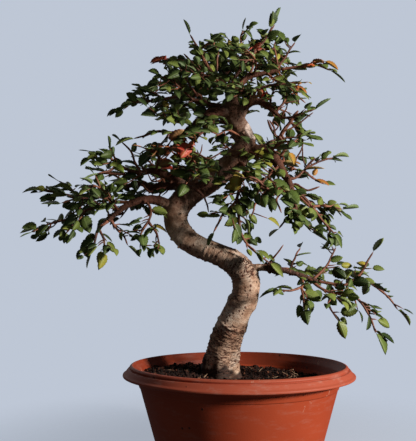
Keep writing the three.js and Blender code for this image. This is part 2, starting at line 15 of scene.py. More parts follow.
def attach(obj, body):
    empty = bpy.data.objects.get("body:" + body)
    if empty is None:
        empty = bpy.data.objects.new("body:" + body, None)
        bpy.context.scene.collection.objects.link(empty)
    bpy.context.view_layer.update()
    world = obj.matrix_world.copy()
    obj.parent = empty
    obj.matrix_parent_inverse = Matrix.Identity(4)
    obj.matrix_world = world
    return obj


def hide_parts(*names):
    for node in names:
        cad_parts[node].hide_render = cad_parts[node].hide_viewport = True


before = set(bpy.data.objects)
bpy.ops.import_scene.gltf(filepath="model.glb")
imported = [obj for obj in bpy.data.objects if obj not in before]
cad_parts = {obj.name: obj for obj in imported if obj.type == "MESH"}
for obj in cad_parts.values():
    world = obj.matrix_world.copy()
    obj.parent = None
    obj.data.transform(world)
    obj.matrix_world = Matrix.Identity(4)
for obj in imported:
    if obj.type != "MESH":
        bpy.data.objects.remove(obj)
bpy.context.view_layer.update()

MM = 0.001
# Points nearer than this are one, where the ends of tubes or turned shapes meet.
TUBE_WELD = 1e-7
TURNED_WELD = 1e-6

# Camera, for a picture whose long side is its height.
PHOTO_HEIGHT = 441
FOCAL_PIXELS = 540
SENSOR = 36
CAMERA_PLACE = (-23.7 * MM, -438.7 * MM, 127.3 * MM)
CAMERA_PITCH_UP = 7.6

# Stage: the floor fades out between these distances from the bowl's middle.
BACKDROP = (0.515, 0.57, 0.668, 1)
FLOOR_RADIUS = 1.2
FLOOR_FADE = (0.10, 0.34)
# Soft lights: azimuth and elevation in degrees, with azimuth 0 on the viewer's side, distance and size in
# metres, power and colour.
LIGHTS_LOOK_AT = Vector((0, 0, 0.16))
LIGHTS = {
    "key": (58, 13.5, 1.2, 0.16, 22, (1, 0.94, 0.88)),
    "fill": (-20, 40, 1.6, 1.4, 0.7, (0.9, 0.95, 1)),
    "back": (205, 25, 1.6, 1.4, 2.3, (0.95, 0.97, 1)),
}

# Bowl.
BOWL_HEIGHT = 72 * MM
LIP_RADIUS = 90 * MM
MOUTH_RADIUS = 82.5 * MM
BAND_DROP = 7.7 * MM
NECK_RADIUS = 79 * MM
FOOT_RADIUS = 54 * MM
FOOT_ROUNDING = 9 * MM
WALL = 2.6 * MM
BOWL_STEPS = 160

# Soil, which keeps a small gap from the bowl.
SOIL_GAP = 0.3 * MM
SOIL_AT_TRUNK = 60 * MM
SOIL_TILT = 0.05
SOIL_RINGS = 50
SOIL_STEPS = 160
CRUMBS = 5600
CRUMB_PATTERNS = 6
# Patches of pale straw: middle in millimetres, number of straws and their reach.
STRAW_PATCHES = [
    (46, 30, 7, 12), (43, 14, 4, 9), (25, 8, 4, 7), (14, -20, 3, 6), (-32, -12, 3, 5), (-45, 10, 3, 6),
    (20, 45, 3, 8),
]
STRAW_CORNERS = 5

# Wood.
LIMB_STEP = 1.5 * MM
LIMB_SIDES = 24
SPUR_SPACING = 16 * MM
BARK_GRAIN = 0.72 * MM
SKIN_SMOOTHINGS = 3
# How many rings of the limbs each point of the skin looks at, and how deep the girths of two limbs mix
# where they fork.
NEAR_RINGS = 26
FORK_MIX = (1.5 * MM, 8 * MM)
# Raised rings round the trunk: how far along it from the foot, and how wide.
RING_SCARS = [
    (38, 1.4), (72.4, 0.9), (73, 1.5), (92, 1.8), (113, 1), (131, 1.3), (150, 1), (171, 1.2), (196, 1),
    (214, 1.1), (240, 1), (268, 1.3), (289, 1), (312, 1.2), (338, 1),
]
# Heights in millimetres: the foot and top of the corky band above the soil, the middle and reach of the
# corky patches in the next two bends, and where the smooth bark ends and the rougher upper bark starts.
CORKY_BAND = (60, 103)
CORKY_LOW_BEND = (123, 8)
CORKY_HIGH_BEND = (146, 12)
SMOOTH_UP_TO = 118
ROUGHER_FROM = 160
BOUGH_CORKINESS = 0.4
# Height in millimetres to which the foot is darkened: dirt near the soil, and painted shade higher on the
# left.
SOILED_AND_SHADED_UP_TO = 71
FLARED_UP_TO = 100
TWIG_STEP = 2.4 * MM
TWIG_ZIGZAG = 0.3 * MM
BARE_TWIG_NODES = 6 * MM

# Leaves, set by the same rule and the same draws as the solids' leaves, and more of them between.
LEAF_LENGTH = (11, 17)
LEAF_SPACING = 14
BARE_SHARE = 0.22
STEM_TIP = 0.6
# Short shoots: where on a stem they start, their length, their girth, and their leaves' spacing and size
# beside the stem's.
SHOOT_START = 0.16
SHOOT_LENGTH = (4, 26)
SHOOT_GIRTH = (0.62, 0.4)
SHOOT_LEAF_SPACING = 5.5
SHOOT_LEAF_SIZE = (0.58, 0.92)
# The way that leaves turn to the light: those on the stems, and those on the short shoots.
SKY = Vector((0.1, -0.45, 1))
SHOOT_LIGHT = Vector((0.25, -0.85, 0.8))
LEAF_THICKNESS = 0.014
# One half of the toothed outline from the stalk to the tip: shares of the length, along and across.
LEAF_EDGE = [
    (0, 0), (0.08, 0.022), (0.14, 0.155), (0.25, 0.255), (0.29, 0.228), (0.40, 0.30), (0.44, 0.265),
    (0.55, 0.295), (0.59, 0.25), (0.70, 0.245), (0.74, 0.20), (0.84, 0.165), (0.88, 0.115), (1, 0),
]
# Fold along the midrib, droop of the tip and twist of each leaf pattern.
LEAF_BENDS = [(0.3, 0.1, 0), (0.5, 0.22, 0.3), (0.15, 0.05, -0.3), (0.35, 0.3, -0.2), (0.6, -0.05, 0.2)]

# The trunk from its foot in the soil to its top: x, y, z and radius.
TRUNK = [
    (-14, 9, 32, 13), (-12, 8, 56, 16), (-13, 6, 72, 14.5), (-10, 3, 87, 13), (-5, -1, 101, 11.8),
    (1, -5, 115, 10.8), (6, -8, 127, 10.8), (6, -9, 139, 11), (-2, -8, 150, 10.2), (-15, -6, 157, 9.2),
    (-31, -3, 164, 9), (-44, -1, 173, 9.3), (-50, 1, 185, 9.8), (-49, 3, 197, 10), (-40, 6, 208, 10),
    (-26, 9, 219, 10.2), (-11, 11, 230, 10.2), (1, 11, 241, 9.8), (8.5, 10, 252, 9.2), (5, 8, 263, 8.8),
    (0, 7, 273, 8), (-3, 5, 285, 6.4), (-4, 4, 296, 4.4), (-4, 4, 304, 2.6),
]

# Thick boughs: radius at the fork, radius at the end, the way between and the short shoots on it. Each
# shoot is a pick from the many that the draws give, and 0 stands for a place without one.
BOUGHS = {
    "sawn_stub": (8.8, 8.4, [(3.5, 11, 256.5), (7.5, 8.2, 259.5), (11.5, 5.5, 262)], []),
    "low_left": (4.6, 1.6, [(-53, 1, 198), (-65, -3, 202), (-76, -6, 202), (-87, -9, 198), (-96, -12, 191),
        (-103, -15, 183)], [40, 60, 76, 0, 86, 26, 0, 62, 26, 59]),
    "mid_left": (4.2, 1.5, [(-45, 5, 216), (-59, 8, 216), (-71, 10, 215), (-81, 14, 220), (-93, 18, 218),
        (-107, 22, 215)], [99, 99, 33, 3, 12, 63, 30, 34, 18, 28, 15]),
    "up_left": (3.8, 1.5, [(-44, 4, 217), (-56, -2, 222), (-69, -7, 226), (-78, -11, 223), (-89, -15, 225)],
        [0, 0, 91, 0, 28, 61, 75, 91, 43]),
    "low_right": (3.4, 1.5, [(5, -9, 145), (16, -11, 147), (27, -12, 146), (38, -14, 144), (51, -15, 140),
        (62, -15, 136)], [0, 0, 0, 0, 0, 0, 1, 99, 0, 0]),
    "mid_right": (7, 2, [(4, 11, 243), (15, 8, 246), (25, 4, 244), (32, 0, 237), (37, -5, 226),
        (42, -10, 215), (45, -13, 203)], [44, 0, 0, 0, 82, 59, 0, 0, 82, 24, 88, 35]),
    "high_right": (4.2, 1.8, [(3, 6, 275), (10, 4, 286), (19, 2, 288), (28, 0, 282), (37, -3, 272)],
        [70, 5, 82, 55, 82, 57, 82, 0]),
    "top_right": (3.6, 1.5, [(-3, 4, 292), (4, 3, 304), (12, 1, 310), (26, -1, 312), (38, -4, 314)],
        [0, 56, 10, 17, 68, 3, 8, 20, 66]),
    "top_left": (3.4, 1.5, [(-4, 4, 294), (-11, 2, 303), (-20, 0, 312), (-27, -2, 322)],
        [66, 85, 14, 33, 70, 0]),
    "high_left": (3.6, 1.5, [(0, 6, 278), (-9, 6, 284), (-22, 8, 287), (-35, 11, 292), (-49, 14, 297)],
        [39, 9, 75, 81, 31, 0, 24, 60, 74]),
    "dark_left": (5.2, 1.7, [(1, 6, 276), (-8, 4, 279), (-19, 0, 276), (-29, -5, 271), (-37, -10, 262),
        (-45, -14, 255)], [33, 91, 78, 17, 82, 19, 36, 63, 0, 27]),
}

# Leafy sprays, each with its main stem first and then the stems that leave it: radius at the fork, which
# set of leaves the stem bears out of the many that the draws give, its way and the short shoots on it.
SPRAYS = {
    "low_left_tip": [
        (1.5, 2, [(-87, -9, 199), (-97, -7, 200), (-110, -4, 197), (-124, -1, 194), (-137, 2, 188),
         (-153, 4, 184), (-168, 5, 179)],
         [59, 43, 81, 86, 43, 0, 0, 0, 25, 57, 30, 16, 0, 39, 84, 3, 0, 91, 0, 82, 18, 14, 51, 84, 63]),
        (1.1, 59, [(-110, -4, 197), (-120, -10, 202), (-130, -15, 201), (-139, -19, 197)],
         [57, 30, 0, 34, 99, 0, 55, 0, 0, 0]),
        (1.1, 8, [(-124, -1, 194), (-129, -6, 184), (-137, -10, 178)], [97, 0, 95, 68, 14, 0, 34]),
    ],
    "low_left_down": [
        (1.2, 15, [(-103, -15, 183), (-109, -19, 177), (-111, -22, 168), (-114, -24, 157)],
         [57, 0, 0, 6, 0, 0, 55, 0, 55]),
        (1.1, 22, [(-109, -19, 177), (-104, -24, 167), (-103, -27, 158)], [0, 32, 59, 1, 22, 0]),
    ],
    "low_left_twig": [
        (1.1, 24, [(-101, -14, 185), (-96, -12, 177), (-91, -9, 172), (-88, -7, 165)],
         [20, 89, 61, 0, 63, 0, 0]),
    ],
    "low_left_up": [
        (1.1, 46, [(-95, -12, 192), (-100, -21, 199), (-105, -29, 206), (-112, -34, 209)],
         [18, 85, 77, 48, 51, 22, 0, 72, 57, 41]),
    ],
    "low_left_hang": [
        (1.1, 0, [(-74, -5, 202), (-69, -12, 190), (-73, -17, 179), (-77, -20, 169), (-72, -22, 163)],
         [0, 61, 0, 1, 28, 16, 0, 0, 18, 0, 34, 0, 84, 3]),
        (1.1, 57, [(-71, -15, 183), (-64, -20, 173), (-61, -23, 164)], [89, 88, 0, 57, 0, 26, 72]),
    ],
    "mid_left_tip": [
        (1.3, 1, [(-107, 22, 215), (-124, 27, 212), (-140, 31, 212), (-157, 34, 215), (-174, 36, 218)],
         [0, 76, 2, 86, 3, 57, 59, 0, 0, 0, 3, 8, 90, 41, 84, 20, 63, 42, 57, 26]),
        (1.1, 43, [(-124, 27, 212), (-132, 34, 203), (-144, 40, 198)], [45, 26, 0, 13, 3, 0, 47, 47]),
        (1.1, 35, [(-140, 31, 212), (-149, 38, 222), (-160, 44, 228)], [92, 84, 0, 82, 90, 0, 0, 0, 0]),
    ],
    "mid_left_back": [
        (1.1, 49, [(-93, 18, 218), (-103, 30, 228), (-115, 42, 236), (-128, 52, 240)],
         [84, 84, 84, 76, 0, 0, 0, 82, 30, 57, 0, 86, 0, 5, 54, 0]),
    ],
    "mid_left_under": [
        (1.1, 38, [(-81, 14, 220), (-88, 24, 212), (-94, 32, 202), (-102, 38, 193)],
         [0, 33, 22, 23, 10, 59, 61, 97, 0, 29, 97, 0]),
    ],
    "up_left_tip": [
        (1.2, 33, [(-89, -15, 225), (-96, -18, 229), (-103, -21, 234), (-114, -24, 237)],
         [0, 29, 80, 99, 34, 90, 34, 82, 0]),
        (1.1, 15, [(-96, -18, 229), (-100, -26, 222), (-108, -32, 218)], []),
    ],
    "up_left_top": [
        (1.1, 53, [(-78, -10, 224), (-84, -6, 234), (-88, -3, 244), (-96, 0, 252)], []),
    ],
    "up_left_red": [
        (1.1, 59, [(-66, -6, 225), (-64, -18, 231), (-59, -27, 236), (-53, -34, 242)],
         [46, 0, 70, 0, 0, 0, 43, 68, 31, 3, 0]),
        (1.1, 33, [(-62, -22, 233), (-67, -30, 236), (-73, -36, 237)], [32, 0, 92, 0, 0]),
    ],
    "up_left_back": [
        (1.1, 38, [(-59, 9, 216), (-66, 22, 231), (-76, 34, 243), (-86, 44, 253)],
         [0, 32, 0, 40, 22, 0, 32, 0, 99, 56, 23, 59, 4, 45, 0, 32, 0]),
    ],
    "dark_left_tip": [
        (1.3, 31, [(-45, -14, 255), (-54, -17, 255), (-64, -20, 255), (-74, -22, 251), (-82, -24, 248)],
         [0, 0, 0, 34, 61, 0, 0, 0, 0, 0, 0, 0]),
        (1.1, 7, [(-54, -17, 255), (-60, -20, 246), (-68, -20, 238)], [61, 0, 3, 30, 0, 3, 88]),
    ],
    "dark_left_top": [
        (1.1, 34, [(-37, -10, 262), (-45, -18, 266), (-54, -26, 267), (-63, -32, 264)],
         [7, 74, 90, 85, 20, 63, 63, 32, 20, 47]),
    ],
    "dark_left_front": [
        (1.1, 19, [(-27, -4, 272), (-26, -18, 258), (-31, -30, 248), (-37, -38, 240)],
         [0, 97, 0, 0, 16, 0, 0, 28, 57, 28, 0, 55, 5, 63]),
    ],
    "high_left_tip": [
        (1.3, 1, [(-49, 14, 297), (-63, 18, 296), (-79, 22, 295), (-91, 25, 296), (-104, 28, 290)],
         [14, 59, 14, 82, 52, 92, 80, 76, 51, 76, 67, 1, 49, 92, 34, 0, 92]),
        (1.1, 33, [(-63, 18, 296), (-74, 26, 306), (-86, 32, 313)], [92, 61, 79, 76, 33, 91, 76, 14, 84]),
    ],
    "high_left_front": [
        (1.1, 14, [(-36, 11, 292), (-45, 0, 297), (-54, -8, 302), (-63, -14, 304)],
         [82, 34, 54, 57, 48, 31, 95, 0, 48, 20, 34, 39]),
    ],
    "high_left_back": [
        (1.2, 29, [(-33, 11, 291), (-42, 28, 303), (-52, 44, 312), (-60, 58, 320)],
         [81, 67, 96, 3, 81, 86, 31, 48, 69, 73, 45, 98, 24, 81, 30, 64, 35, 89]),
        (1.1, 4, [(-44, 32, 305), (-53, 42, 300), (-63, 50, 295)], [74, 11, 74, 71, 27, 33, 1, 26]),
    ],
    "top_left_tip": [
        (1.2, 7, [(-27, -2, 322), (-31, -4, 331), (-36, -5, 339), (-39, -6, 344)],
         [38, 59, 57, 0, 0, 0, 0]),
        (1.1, 52, [(-31, -4, 331), (-24, -10, 334), (-17, -15, 335)], [33, 32, 57, 83, 40]),
    ],
    "top_left_side": [
        (1.1, 49, [(-23, -1, 315), (-33, 6, 322), (-45, 12, 329), (-61, 17, 333)],
         [60, 61, 23, 0, 6, 0, 14, 41, 33, 74, 18, 0, 92, 76]),
    ],
    "top_left_front": [
        (1.1, 43, [(-19, 0, 310), (-28, -13, 304), (-37, -24, 303), (-44, -32, 300)],
         [83, 7, 24, 3, 97, 58, 8, 88, 0, 34, 88, 22]),
    ],
    "apex_tip": [
        (1.8, 48, [(-4, 4, 302), (2, 5, 314), (11, 6, 327), (21, 6, 339), (28, 5, 348), (34, 4, 358)],
         [48, 19, 5, 18, 0, 0, 59, 0, 49, 17, 61, 83, 68, 66, 17, 58, 30, 30, 0, 0]),
        (1.1, 24, [(11, 6, 327), (6, 2, 336), (4, -2, 343), (6, -4, 349)], [5, 56, 56, 61, 20, 0, 43, 39]),
        (1.1, 20, [(18, 6, 336), (27, 12, 339), (39, 18, 343)], [31, 20, 65, 15, 68, 29, 56]),
    ],
    "top_right_tip": [
        (1.2, 34, [(38, -4, 314), (53, -7, 315), (65, -9, 316), (78, -11, 310)],
         [34, 0, 26, 1, 0, 0, 84, 18, 61, 26, 0, 0]),
    ],
    "top_right_up": [
        (1.1, 50, [(34, -3, 313), (41, 5, 326), (48, 11, 338), (53, 15, 347)],
         [44, 20, 6, 0, 20, 66, 99, 83, 0, 80, 61, 0, 0]),
    ],
    "top_right_under": [
        (1.1, 30, [(26, -1, 312), (32, -12, 301), (40, -21, 294), (48, -28, 288)],
         [26, 80, 1, 84, 76, 57, 55, 82, 66, 63, 60, 25, 88]),
    ],
    "top_right_front": [
        (1.1, 2, [(14, 1, 310), (16, -13, 313), (13, -25, 315), (7, -34, 317)],
         [63, 41, 68, 26, 99, 82, 31, 50, 59, 59, 26]),
    ],
    "top_back": [
        (1.3, 2, [(-4, 4, 299), (-6, 20, 316), (-11, 34, 333), (-18, 46, 347)],
         [49, 65, 40, 36, 29, 98, 75, 66, 40, 29, 97, 77, 6, 54, 40, 64, 94, 72, 8]),
        (1.1, 44, [(-8, 25, 322), (4, 38, 335), (14, 48, 346)],
         [1, 14, 39, 56, 23, 56, 29, 44, 27, 21, 12, 95]),
    ],
    "high_right_tip": [
        (1.2, 14, [(37, -3, 272), (45, -7, 271), (53, -11, 273), (63, -15, 275)],
         [34, 34, 68, 59, 28, 61, 0, 0, 0]),
        (1.1, 44, [(43, -6, 271), (48, -12, 260), (55, -17, 253)], [32, 53, 53, 28, 68, 84, 30]),
    ],
    "high_right_up": [
        (1.1, 56, [(33, -1, 277), (41, 9, 289), (49, 18, 300), (59, 26, 307)],
         [83, 0, 0, 43, 32, 56, 68, 63, 0, 73, 48, 92, 61, 70]),
    ],
    "high_right_back": [
        (1.2, 14, [(22, 2, 286), (29, 20, 292), (39, 38, 295), (50, 54, 297)],
         [27, 0, 32, 98, 32, 32, 70, 14, 0, 32, 0, 55, 34, 55, 0, 0, 39, 84]),
        (1.1, 15, [(32, 26, 293), (35, 38, 308), (42, 48, 322)], [63, 34, 77, 0, 88, 0, 68, 2, 6, 63, 35]),
    ],
    "high_right_front": [
        (1.1, 51, [(12, 4, 286), (12, -14, 285), (6, -28, 285), (-1, -40, 282)],
         [11, 35, 37, 33, 12, 78, 50, 42, 61, 14, 88, 33, 94, 63]),
    ],
    "mid_right_tip": [
        (1.2, 41, [(45, -13, 203), (46, -18, 192), (50, -22, 182), (56, -25, 174)],
         [86, 4, 49, 18, 5, 0, 0, 53, 4, 0]),
        (1.1, 58, [(46, -18, 192), (38, -24, 185), (31, -28, 176)], [87, 24, 24, 5, 0, 0, 0]),
    ],
    "mid_right_out": [
        (1.3, 25, [(43, -11, 210), (53, -10, 204), (60, -9, 196), (69, -8, 184), (78, -7, 174)],
         [53, 32, 94, 59, 7, 68, 0, 3, 0, 0, 58, 24, 59, 39, 61]),
        (1.1, 9, [(60, -9, 196), (72, -5, 197), (86, -2, 195)], [83, 88, 8, 78, 24, 84, 0, 0]),
    ],
    "mid_right_up": [
        (1.2, 50, [(40, -8, 220), (48, 0, 221), (57, 6, 229), (67, 10, 236), (83, 13, 242)],
         [0, 51, 32, 0, 0, 0, 63, 0, 3, 0, 30, 92, 0, 3, 49, 0]),
        (1.1, 17, [(57, 6, 229), (66, 16, 225), (77, 23, 221)], []),
    ],
    "mid_right_front": [
        (1.1, 58, [(35, -3, 231), (27, -18, 222), (19, -31, 212), (14, -40, 201)],
         [47, 28, 53, 57, 47, 11, 73, 55, 76, 57, 45, 21, 82, 92, 57]),
        (1.1, 24, [(23, -25, 217), (28, -36, 207), (34, -44, 201)], [51, 88, 32, 30, 83, 86, 78, 3]),
    ],
    "mid_right_over": [
        (1.1, 47, [(27, 3, 243), (32, -10, 246), (38, -22, 246), (46, -32, 243)],
         [86, 42, 30, 0, 0, 0, 85, 30, 0, 63, 63, 1]),
    ],
    "mid_right_back": [
        (1.4, 13, [(30, 2, 240), (39, 22, 242), (51, 42, 241), (65, 60, 240)],
         [0, 30, 0, 0, 0, 48, 0, 5, 61, 63, 63, 51, 34, 51, 99, 83, 0, 92, 92, 0]),
        (1.1, 15, [(43, 28, 242), (46, 42, 256), (53, 54, 269)],
         [0, 19, 10, 23, 57, 58, 26, 0, 45, 16, 84]),
    ],
    "trunk_back_low": [
        (1.6, 4, [(-34, 9, 213), (-43, 28, 222), (-55, 48, 230), (-70, 68, 236)],
         [0, 26, 84, 86, 32, 49, 63, 58, 29, 0, 39, 48, 56, 34, 56, 0, 84, 82, 55, 56, 0, 25]),
        (1.1, 8, [(-47, 34, 225), (-46, 50, 238), (-41, 64, 249)],
         [42, 12, 0, 67, 84, 75, 59, 15, 25, 66, 40, 18]),
    ],
    "trunk_back": [
        (1.6, 54, [(-4, 12, 237), (1, 32, 246), (10, 52, 253), (19, 72, 263)],
         [66, 39, 63, 91, 90, 83, 53, 7, 56, 0, 31, 0, 42, 48, 0, 85, 0, 26, 0, 14]),
        (1.1, 24, [(3, 38, 249), (-5, 52, 261), (-12, 64, 270)],
         [79, 0, 59, 59, 59, 82, 24, 90, 26, 1, 93]),
    ],
    "trunk_back_high": [
        (1.5, 14, [(6, 9, 262), (0, 28, 273), (-7, 46, 282), (-14, 64, 290)],
         [0, 0, 73, 56, 56, 22, 0, 0, 97, 87, 12, 80, 0, 11, 29, 58, 46, 13, 87]),
        (1.1, 59, [(-4, 36, 277), (6, 48, 289), (17, 60, 299)], [82, 0, 46, 5, 94, 97, 0, 63, 70, 20, 19]),
    ],
    "front_hang": [
        (1.8, 39, [(1, 11, 239), (6, -6, 228), (2, -18, 213), (-1, -25, 199), (0, -27, 184), (3, -26, 169),
         (13, -23, 158), (24, -20, 150)],
         [53, 56, 66, 14, 11, 90, 43, 24, 40, 3, 73, 13, 26, 66, 28, 0, 0, 41, 92, 99, 28, 32, 0, 0, 20, 59,
          28, 86, 0, 0, 0, 3, 0, 0]),
        (1.1, 12, [(-1, -25, 199), (-7, -31, 191), (-13, -36, 185), (-19, -40, 172)],
         [88, 3, 70, 83, 43, 63, 0, 0, 0, 0, 0]),
    ],
    "front_left": [
        (1.2, 55, [(-23, 9, 222), (-28, -8, 226), (-34, -22, 230), (-41, -36, 229)],
         [81, 7, 22, 56, 70, 45, 20, 17, 18, 16, 0, 66, 27, 63, 30]),
        (1.1, 46, [(-30, -13, 228), (-36, -27, 219), (-40, -40, 208)], [13, 0, 54, 27, 97, 0, 87, 0, 0, 0]),
    ],
    "front_yellow": [
        (1.1, 46, [(-1, 12, 240), (3, -6, 241), (10, -20, 238), (18, -32, 232)],
         [84, 0, 0, 0, 0, 0, 57, 0, 0, 0, 0, 0, 57, 55, 16]),
    ],
    "front_crown": [
        (1.1, 56, [(6, 9, 256), (-1, -8, 257), (-9, -20, 256), (-17, -31, 248)],
         [0, 0, 0, 0, 0, 30, 0, 0, 0, 90, 0, 0, 0, 55]),
    ],
    "low_right_tip": [
        (1.3, 24, [(62, -15, 136), (73, -16, 134), (85, -16, 134), (96, -15, 143), (106, -14, 159)],
         [1, 73, 3, 49, 0, 58, 0, 59, 41, 90, 0, 59, 0, 0, 0, 0, 0]),
        (1.1, 9, [(85, -16, 134), (97, -8, 139), (109, -3, 133), (121, 0, 124), (129, 2, 114)],
         [82, 51, 87, 92, 0, 82, 0, 3, 0, 61, 61, 0, 0, 0, 0, 55, 0]),
    ],
    "low_right_down": [
        (1.2, 17, [(55, -15, 138), (64, -21, 130), (72, -23, 127), (83, -26, 127), (90, -29, 121),
         (96, -31, 111), (100, -33, 98)],
         [0, 1, 10, 60, 76, 0, 5, 0, 0, 74, 0, 55, 3, 10, 3, 0, 63, 0, 30, 41]),
        (1.1, 39, [(72, -23, 127), (67, -27, 119), (73, -31, 107)], [97, 0, 0, 0, 5, 99, 0]),
    ],
    "low_right_under": [
        (1.1, 55, [(50, -15, 140), (48, -22, 132), (40, -27, 129), (30, -31, 129)],
         [0, 22, 41, 0, 0, 0, 0, 34, 3]),
        (1.1, 27, [(48, -22, 132), (48, -28, 122), (48, -32, 115)], [32, 57, 34, 0, 0, 0]),
    ],
    "low_right_up": [
        (1.1, 52, [(59, -14, 138), (68, -7, 145), (76, -1, 155), (81, 4, 164)],
         [0, 57, 32, 43, 84, 0, 0, 0, 61, 5, 99]),
    ],
    "low_right_back": [
        (1.3, 0, [(28, -12, 146), (39, 10, 147), (52, 30, 147), (70, 50, 144)],
         [0, 0, 0, 0, 1, 0, 92, 59, 39, 30, 0, 0, 90, 59, 0, 33, 98, 0, 76, 63, 62, 33]),
        (1.1, 52, [(46, 20, 147), (52, 34, 157), (59, 46, 167)], [57, 84, 0, 0, 0, 0, 0, 0, 0, 0]),
    ],
}

# Bare and cut twigs: radius at the fork, radius at the end and the way between.
BARE_TWIGS = [
    (0.8, 0.6, [(-23, -6, 306), (-30, -9, 309), (-34, -12, 313), (-43, -16, 322)]),
    (0.9, 0.6, [(-33, 8, 295), (-39, -2, 301), (-44, -8, 307), (-48, -12, 313)]),
    (0.9, 0.8, [(-90, -15, 221), (-99, -18, 221), (-108, -20, 221)]),
    (0.8, 0.6, [(-107, -4, 196), (-102, -9, 186), (-98, -12, 177)]),
    (0.8, 0.5, [(24, -12, 150), (29, -16, 156), (35, -20, 164)]),
    (1.6, 1.1, [(33, -9, 246), (36, -13, 255), (42, -16, 263), (49, -18, 273)]),
    (1.1, 0.9, [(34, -11, 251), (28, -12, 259), (25, -13, 267)]),
    (1.5, 1.1, [(-50, 1, 216), (-41, -8, 213), (-33, -13, 209), (-27, -15, 203)]),
    (0.8, 0.5, [(38, -22, 246), (35, -22, 253), (42, -25, 256), (50, -27, 261), (59, -28, 268)]),
    (1.1, 0.6, [(36, -18, 246), (35, -18, 250), (29, -21, 252), (29, -23, 257), (25, -24, 263)]),
    (0.7, 0.5, [(35, -16, 246), (30, -16, 257), (33, -17, 259), (31, -18, 263), (28, -19, 264)]),
    (0.8, 0.5, [(36, -18, 246), (35, -18, 249), (42, -20, 250), (47, -22, 250), (52, -23, 254)]),
    (0.9, 0.6, [(35, -16, 246), (33, -16, 249), (29, -19, 248), (23, -21, 245), (19, -23, 241)]),
    (1.5, 1, [(38, 19, 242), (43, 15, 250), (48, 13, 256)]),
    (0.9, 0.6, [(53, 45, 241), (52, 44, 237), (57, 43, 248), (60, 43, 254), (63, 42, 260), (63, 41, 266)]),
    (0.7, 0.5, [(60, 7, 231), (56, 5, 240), (56, 3, 249)]),
    (1, 0.8, [(57, 6, 229), (61, 4, 234), (66, 2, 239)]),
    (0.9, 0.7, [(42, -10, 213), (47, -11, 214), (51, -13, 211), (56, -15, 208), (65, -16, 211)]),
    (1.3, 1.1, [(45, -13, 203), (48, -14, 203), (52, -17, 199), (56, -20, 194)]),
    (0.9, 0.6, [(43, -11, 211), (33, -15, 206), (21, -18, 202), (8, -20, 201)]),
    (0.8, 0.6, [(32, -41, 203), (27, -46, 195), (30, -49, 185)]),
    (1, 0.7, [(28, -36, 207), (26, -36, 203), (18, -40, 207), (13, -43, 211), (6, -45, 213)]),
    (0.7, 0.5, [(16, -36, 206), (21, -36, 205), (17, -40, 200), (12, -42, 193), (8, -44, 182)]),
    (1, 0.7, [(-54, -1, 221), (-63, -3, 227), (-70, -5, 227), (-76, -6, 227)]),
    (0.8, 0.5, [(-75, -10, 224), (-76, -10, 226), (-78, -12, 233), (-76, -14, 241)]),
    (0.7, 0.5, [(-62, 16, 224), (-71, 12, 221), (-75, 10, 228)]),
    (0.7, 0.5, [(-62, 16, 224), (-67, 12, 221), (-70, 10, 228)]),
    (0.9, 0.5, [(-50, 1, 220), (-50, -3, 238), (-52, -5, 241), (-60, -7, 248)]),
    (0.9, 0.6, [(-48, 2, 219), (-49, -2, 228), (-49, -5, 235), (-49, -7, 240)]),
    (0.8, 0.5, [(-35, -25, 220), (-38, -25, 223), (-39, -28, 231), (-39, -31, 235)]),
    (0.8, 0.5, [(-41, -36, 229), (-37, -39, 234), (-30, -42, 230), (-23, -43, 227), (-14, -45, 231)]),
    (0.6, 0.45, [(-34, -22, 230), (-31, -22, 234), (-29, -24, 239), (-28, -25, 243)]),
    (0.9, 0.6, [(-38, 6, 210), (-32, 3, 211), (-26, 0, 214), (-21, -2, 220)]),
    (0.8, 0.6, [(-33, 8, 214), (-27, 7, 207), (-25, 4, 201), (-23, 2, 193)]),
    (0.9, 0.6, [(-3, -27, 196), (-12, -31, 187), (-17, -33, 177), (-20, -35, 172)]),
    (1.1, 0.8, [(-54, 7, 216), (-63, 4, 213), (-72, 2, 210), (-79, 1, 217)]),
    (0.7, 0.5, [(-61, 8, 216), (-64, 5, 208), (-61, 3, 203)]),
    (1.1, 0.6, [(-10, 2, 302), (-15, 2, 297), (-18, -1, 306), (-25, -4, 308), (-36, -6, 317),
     (-44, -8, 326)]),
    (1, 0.6, [(-31, 10, 290), (-29, 10, 295), (-36, 5, 298), (-43, 2, 309), (-49, 0, 319)]),
    (0.9, 0.6, [(-9, 3, 300), (-12, 2, 297), (-16, -2, 309), (-16, -4, 319), (-15, -6, 329)]),
    (0.8, 0.5, [(7, 41, 339), (3, 37, 346), (-3, 34, 354)]),
    (1.3, 0.7, [(-6, 3, 297), (5, 0, 305), (14, -2, 316), (15, -4, 327), (19, -6, 337)]),
    (0.8, 0.6, [(15, -8, 312), (17, -10, 313), (21, -11, 315)]),
    (1.2, 0.8, [(10, -19, 285), (14, -19, 289), (26, -21, 293), (38, -22, 294), (50, -24, 294)]),
    (0.8, 0.5, [(35, -2, 315), (38, -4, 307), (48, -6, 293), (57, -8, 283)]),
    (0.7, 0.5, [(36, -2, 274), (38, -5, 273), (43, -6, 283)]),
    (0.9, 0.7, [(-20, 8, 286), (-20, 5, 275), (-21, 3, 265)]),
    (0.8, 0.6, [(36, 0, 317), (34, -4, 325), (32, -6, 334)]),
    (1, 0.8, [(-26, -3, 273), (-26, -4, 276), (-19, -6, 279), (-10, -8, 277)]),
    (1, 0.8, [(-55, 43, 299), (-48, 41, 297), (-37, 39, 302), (-26, 37, 305)]),
]

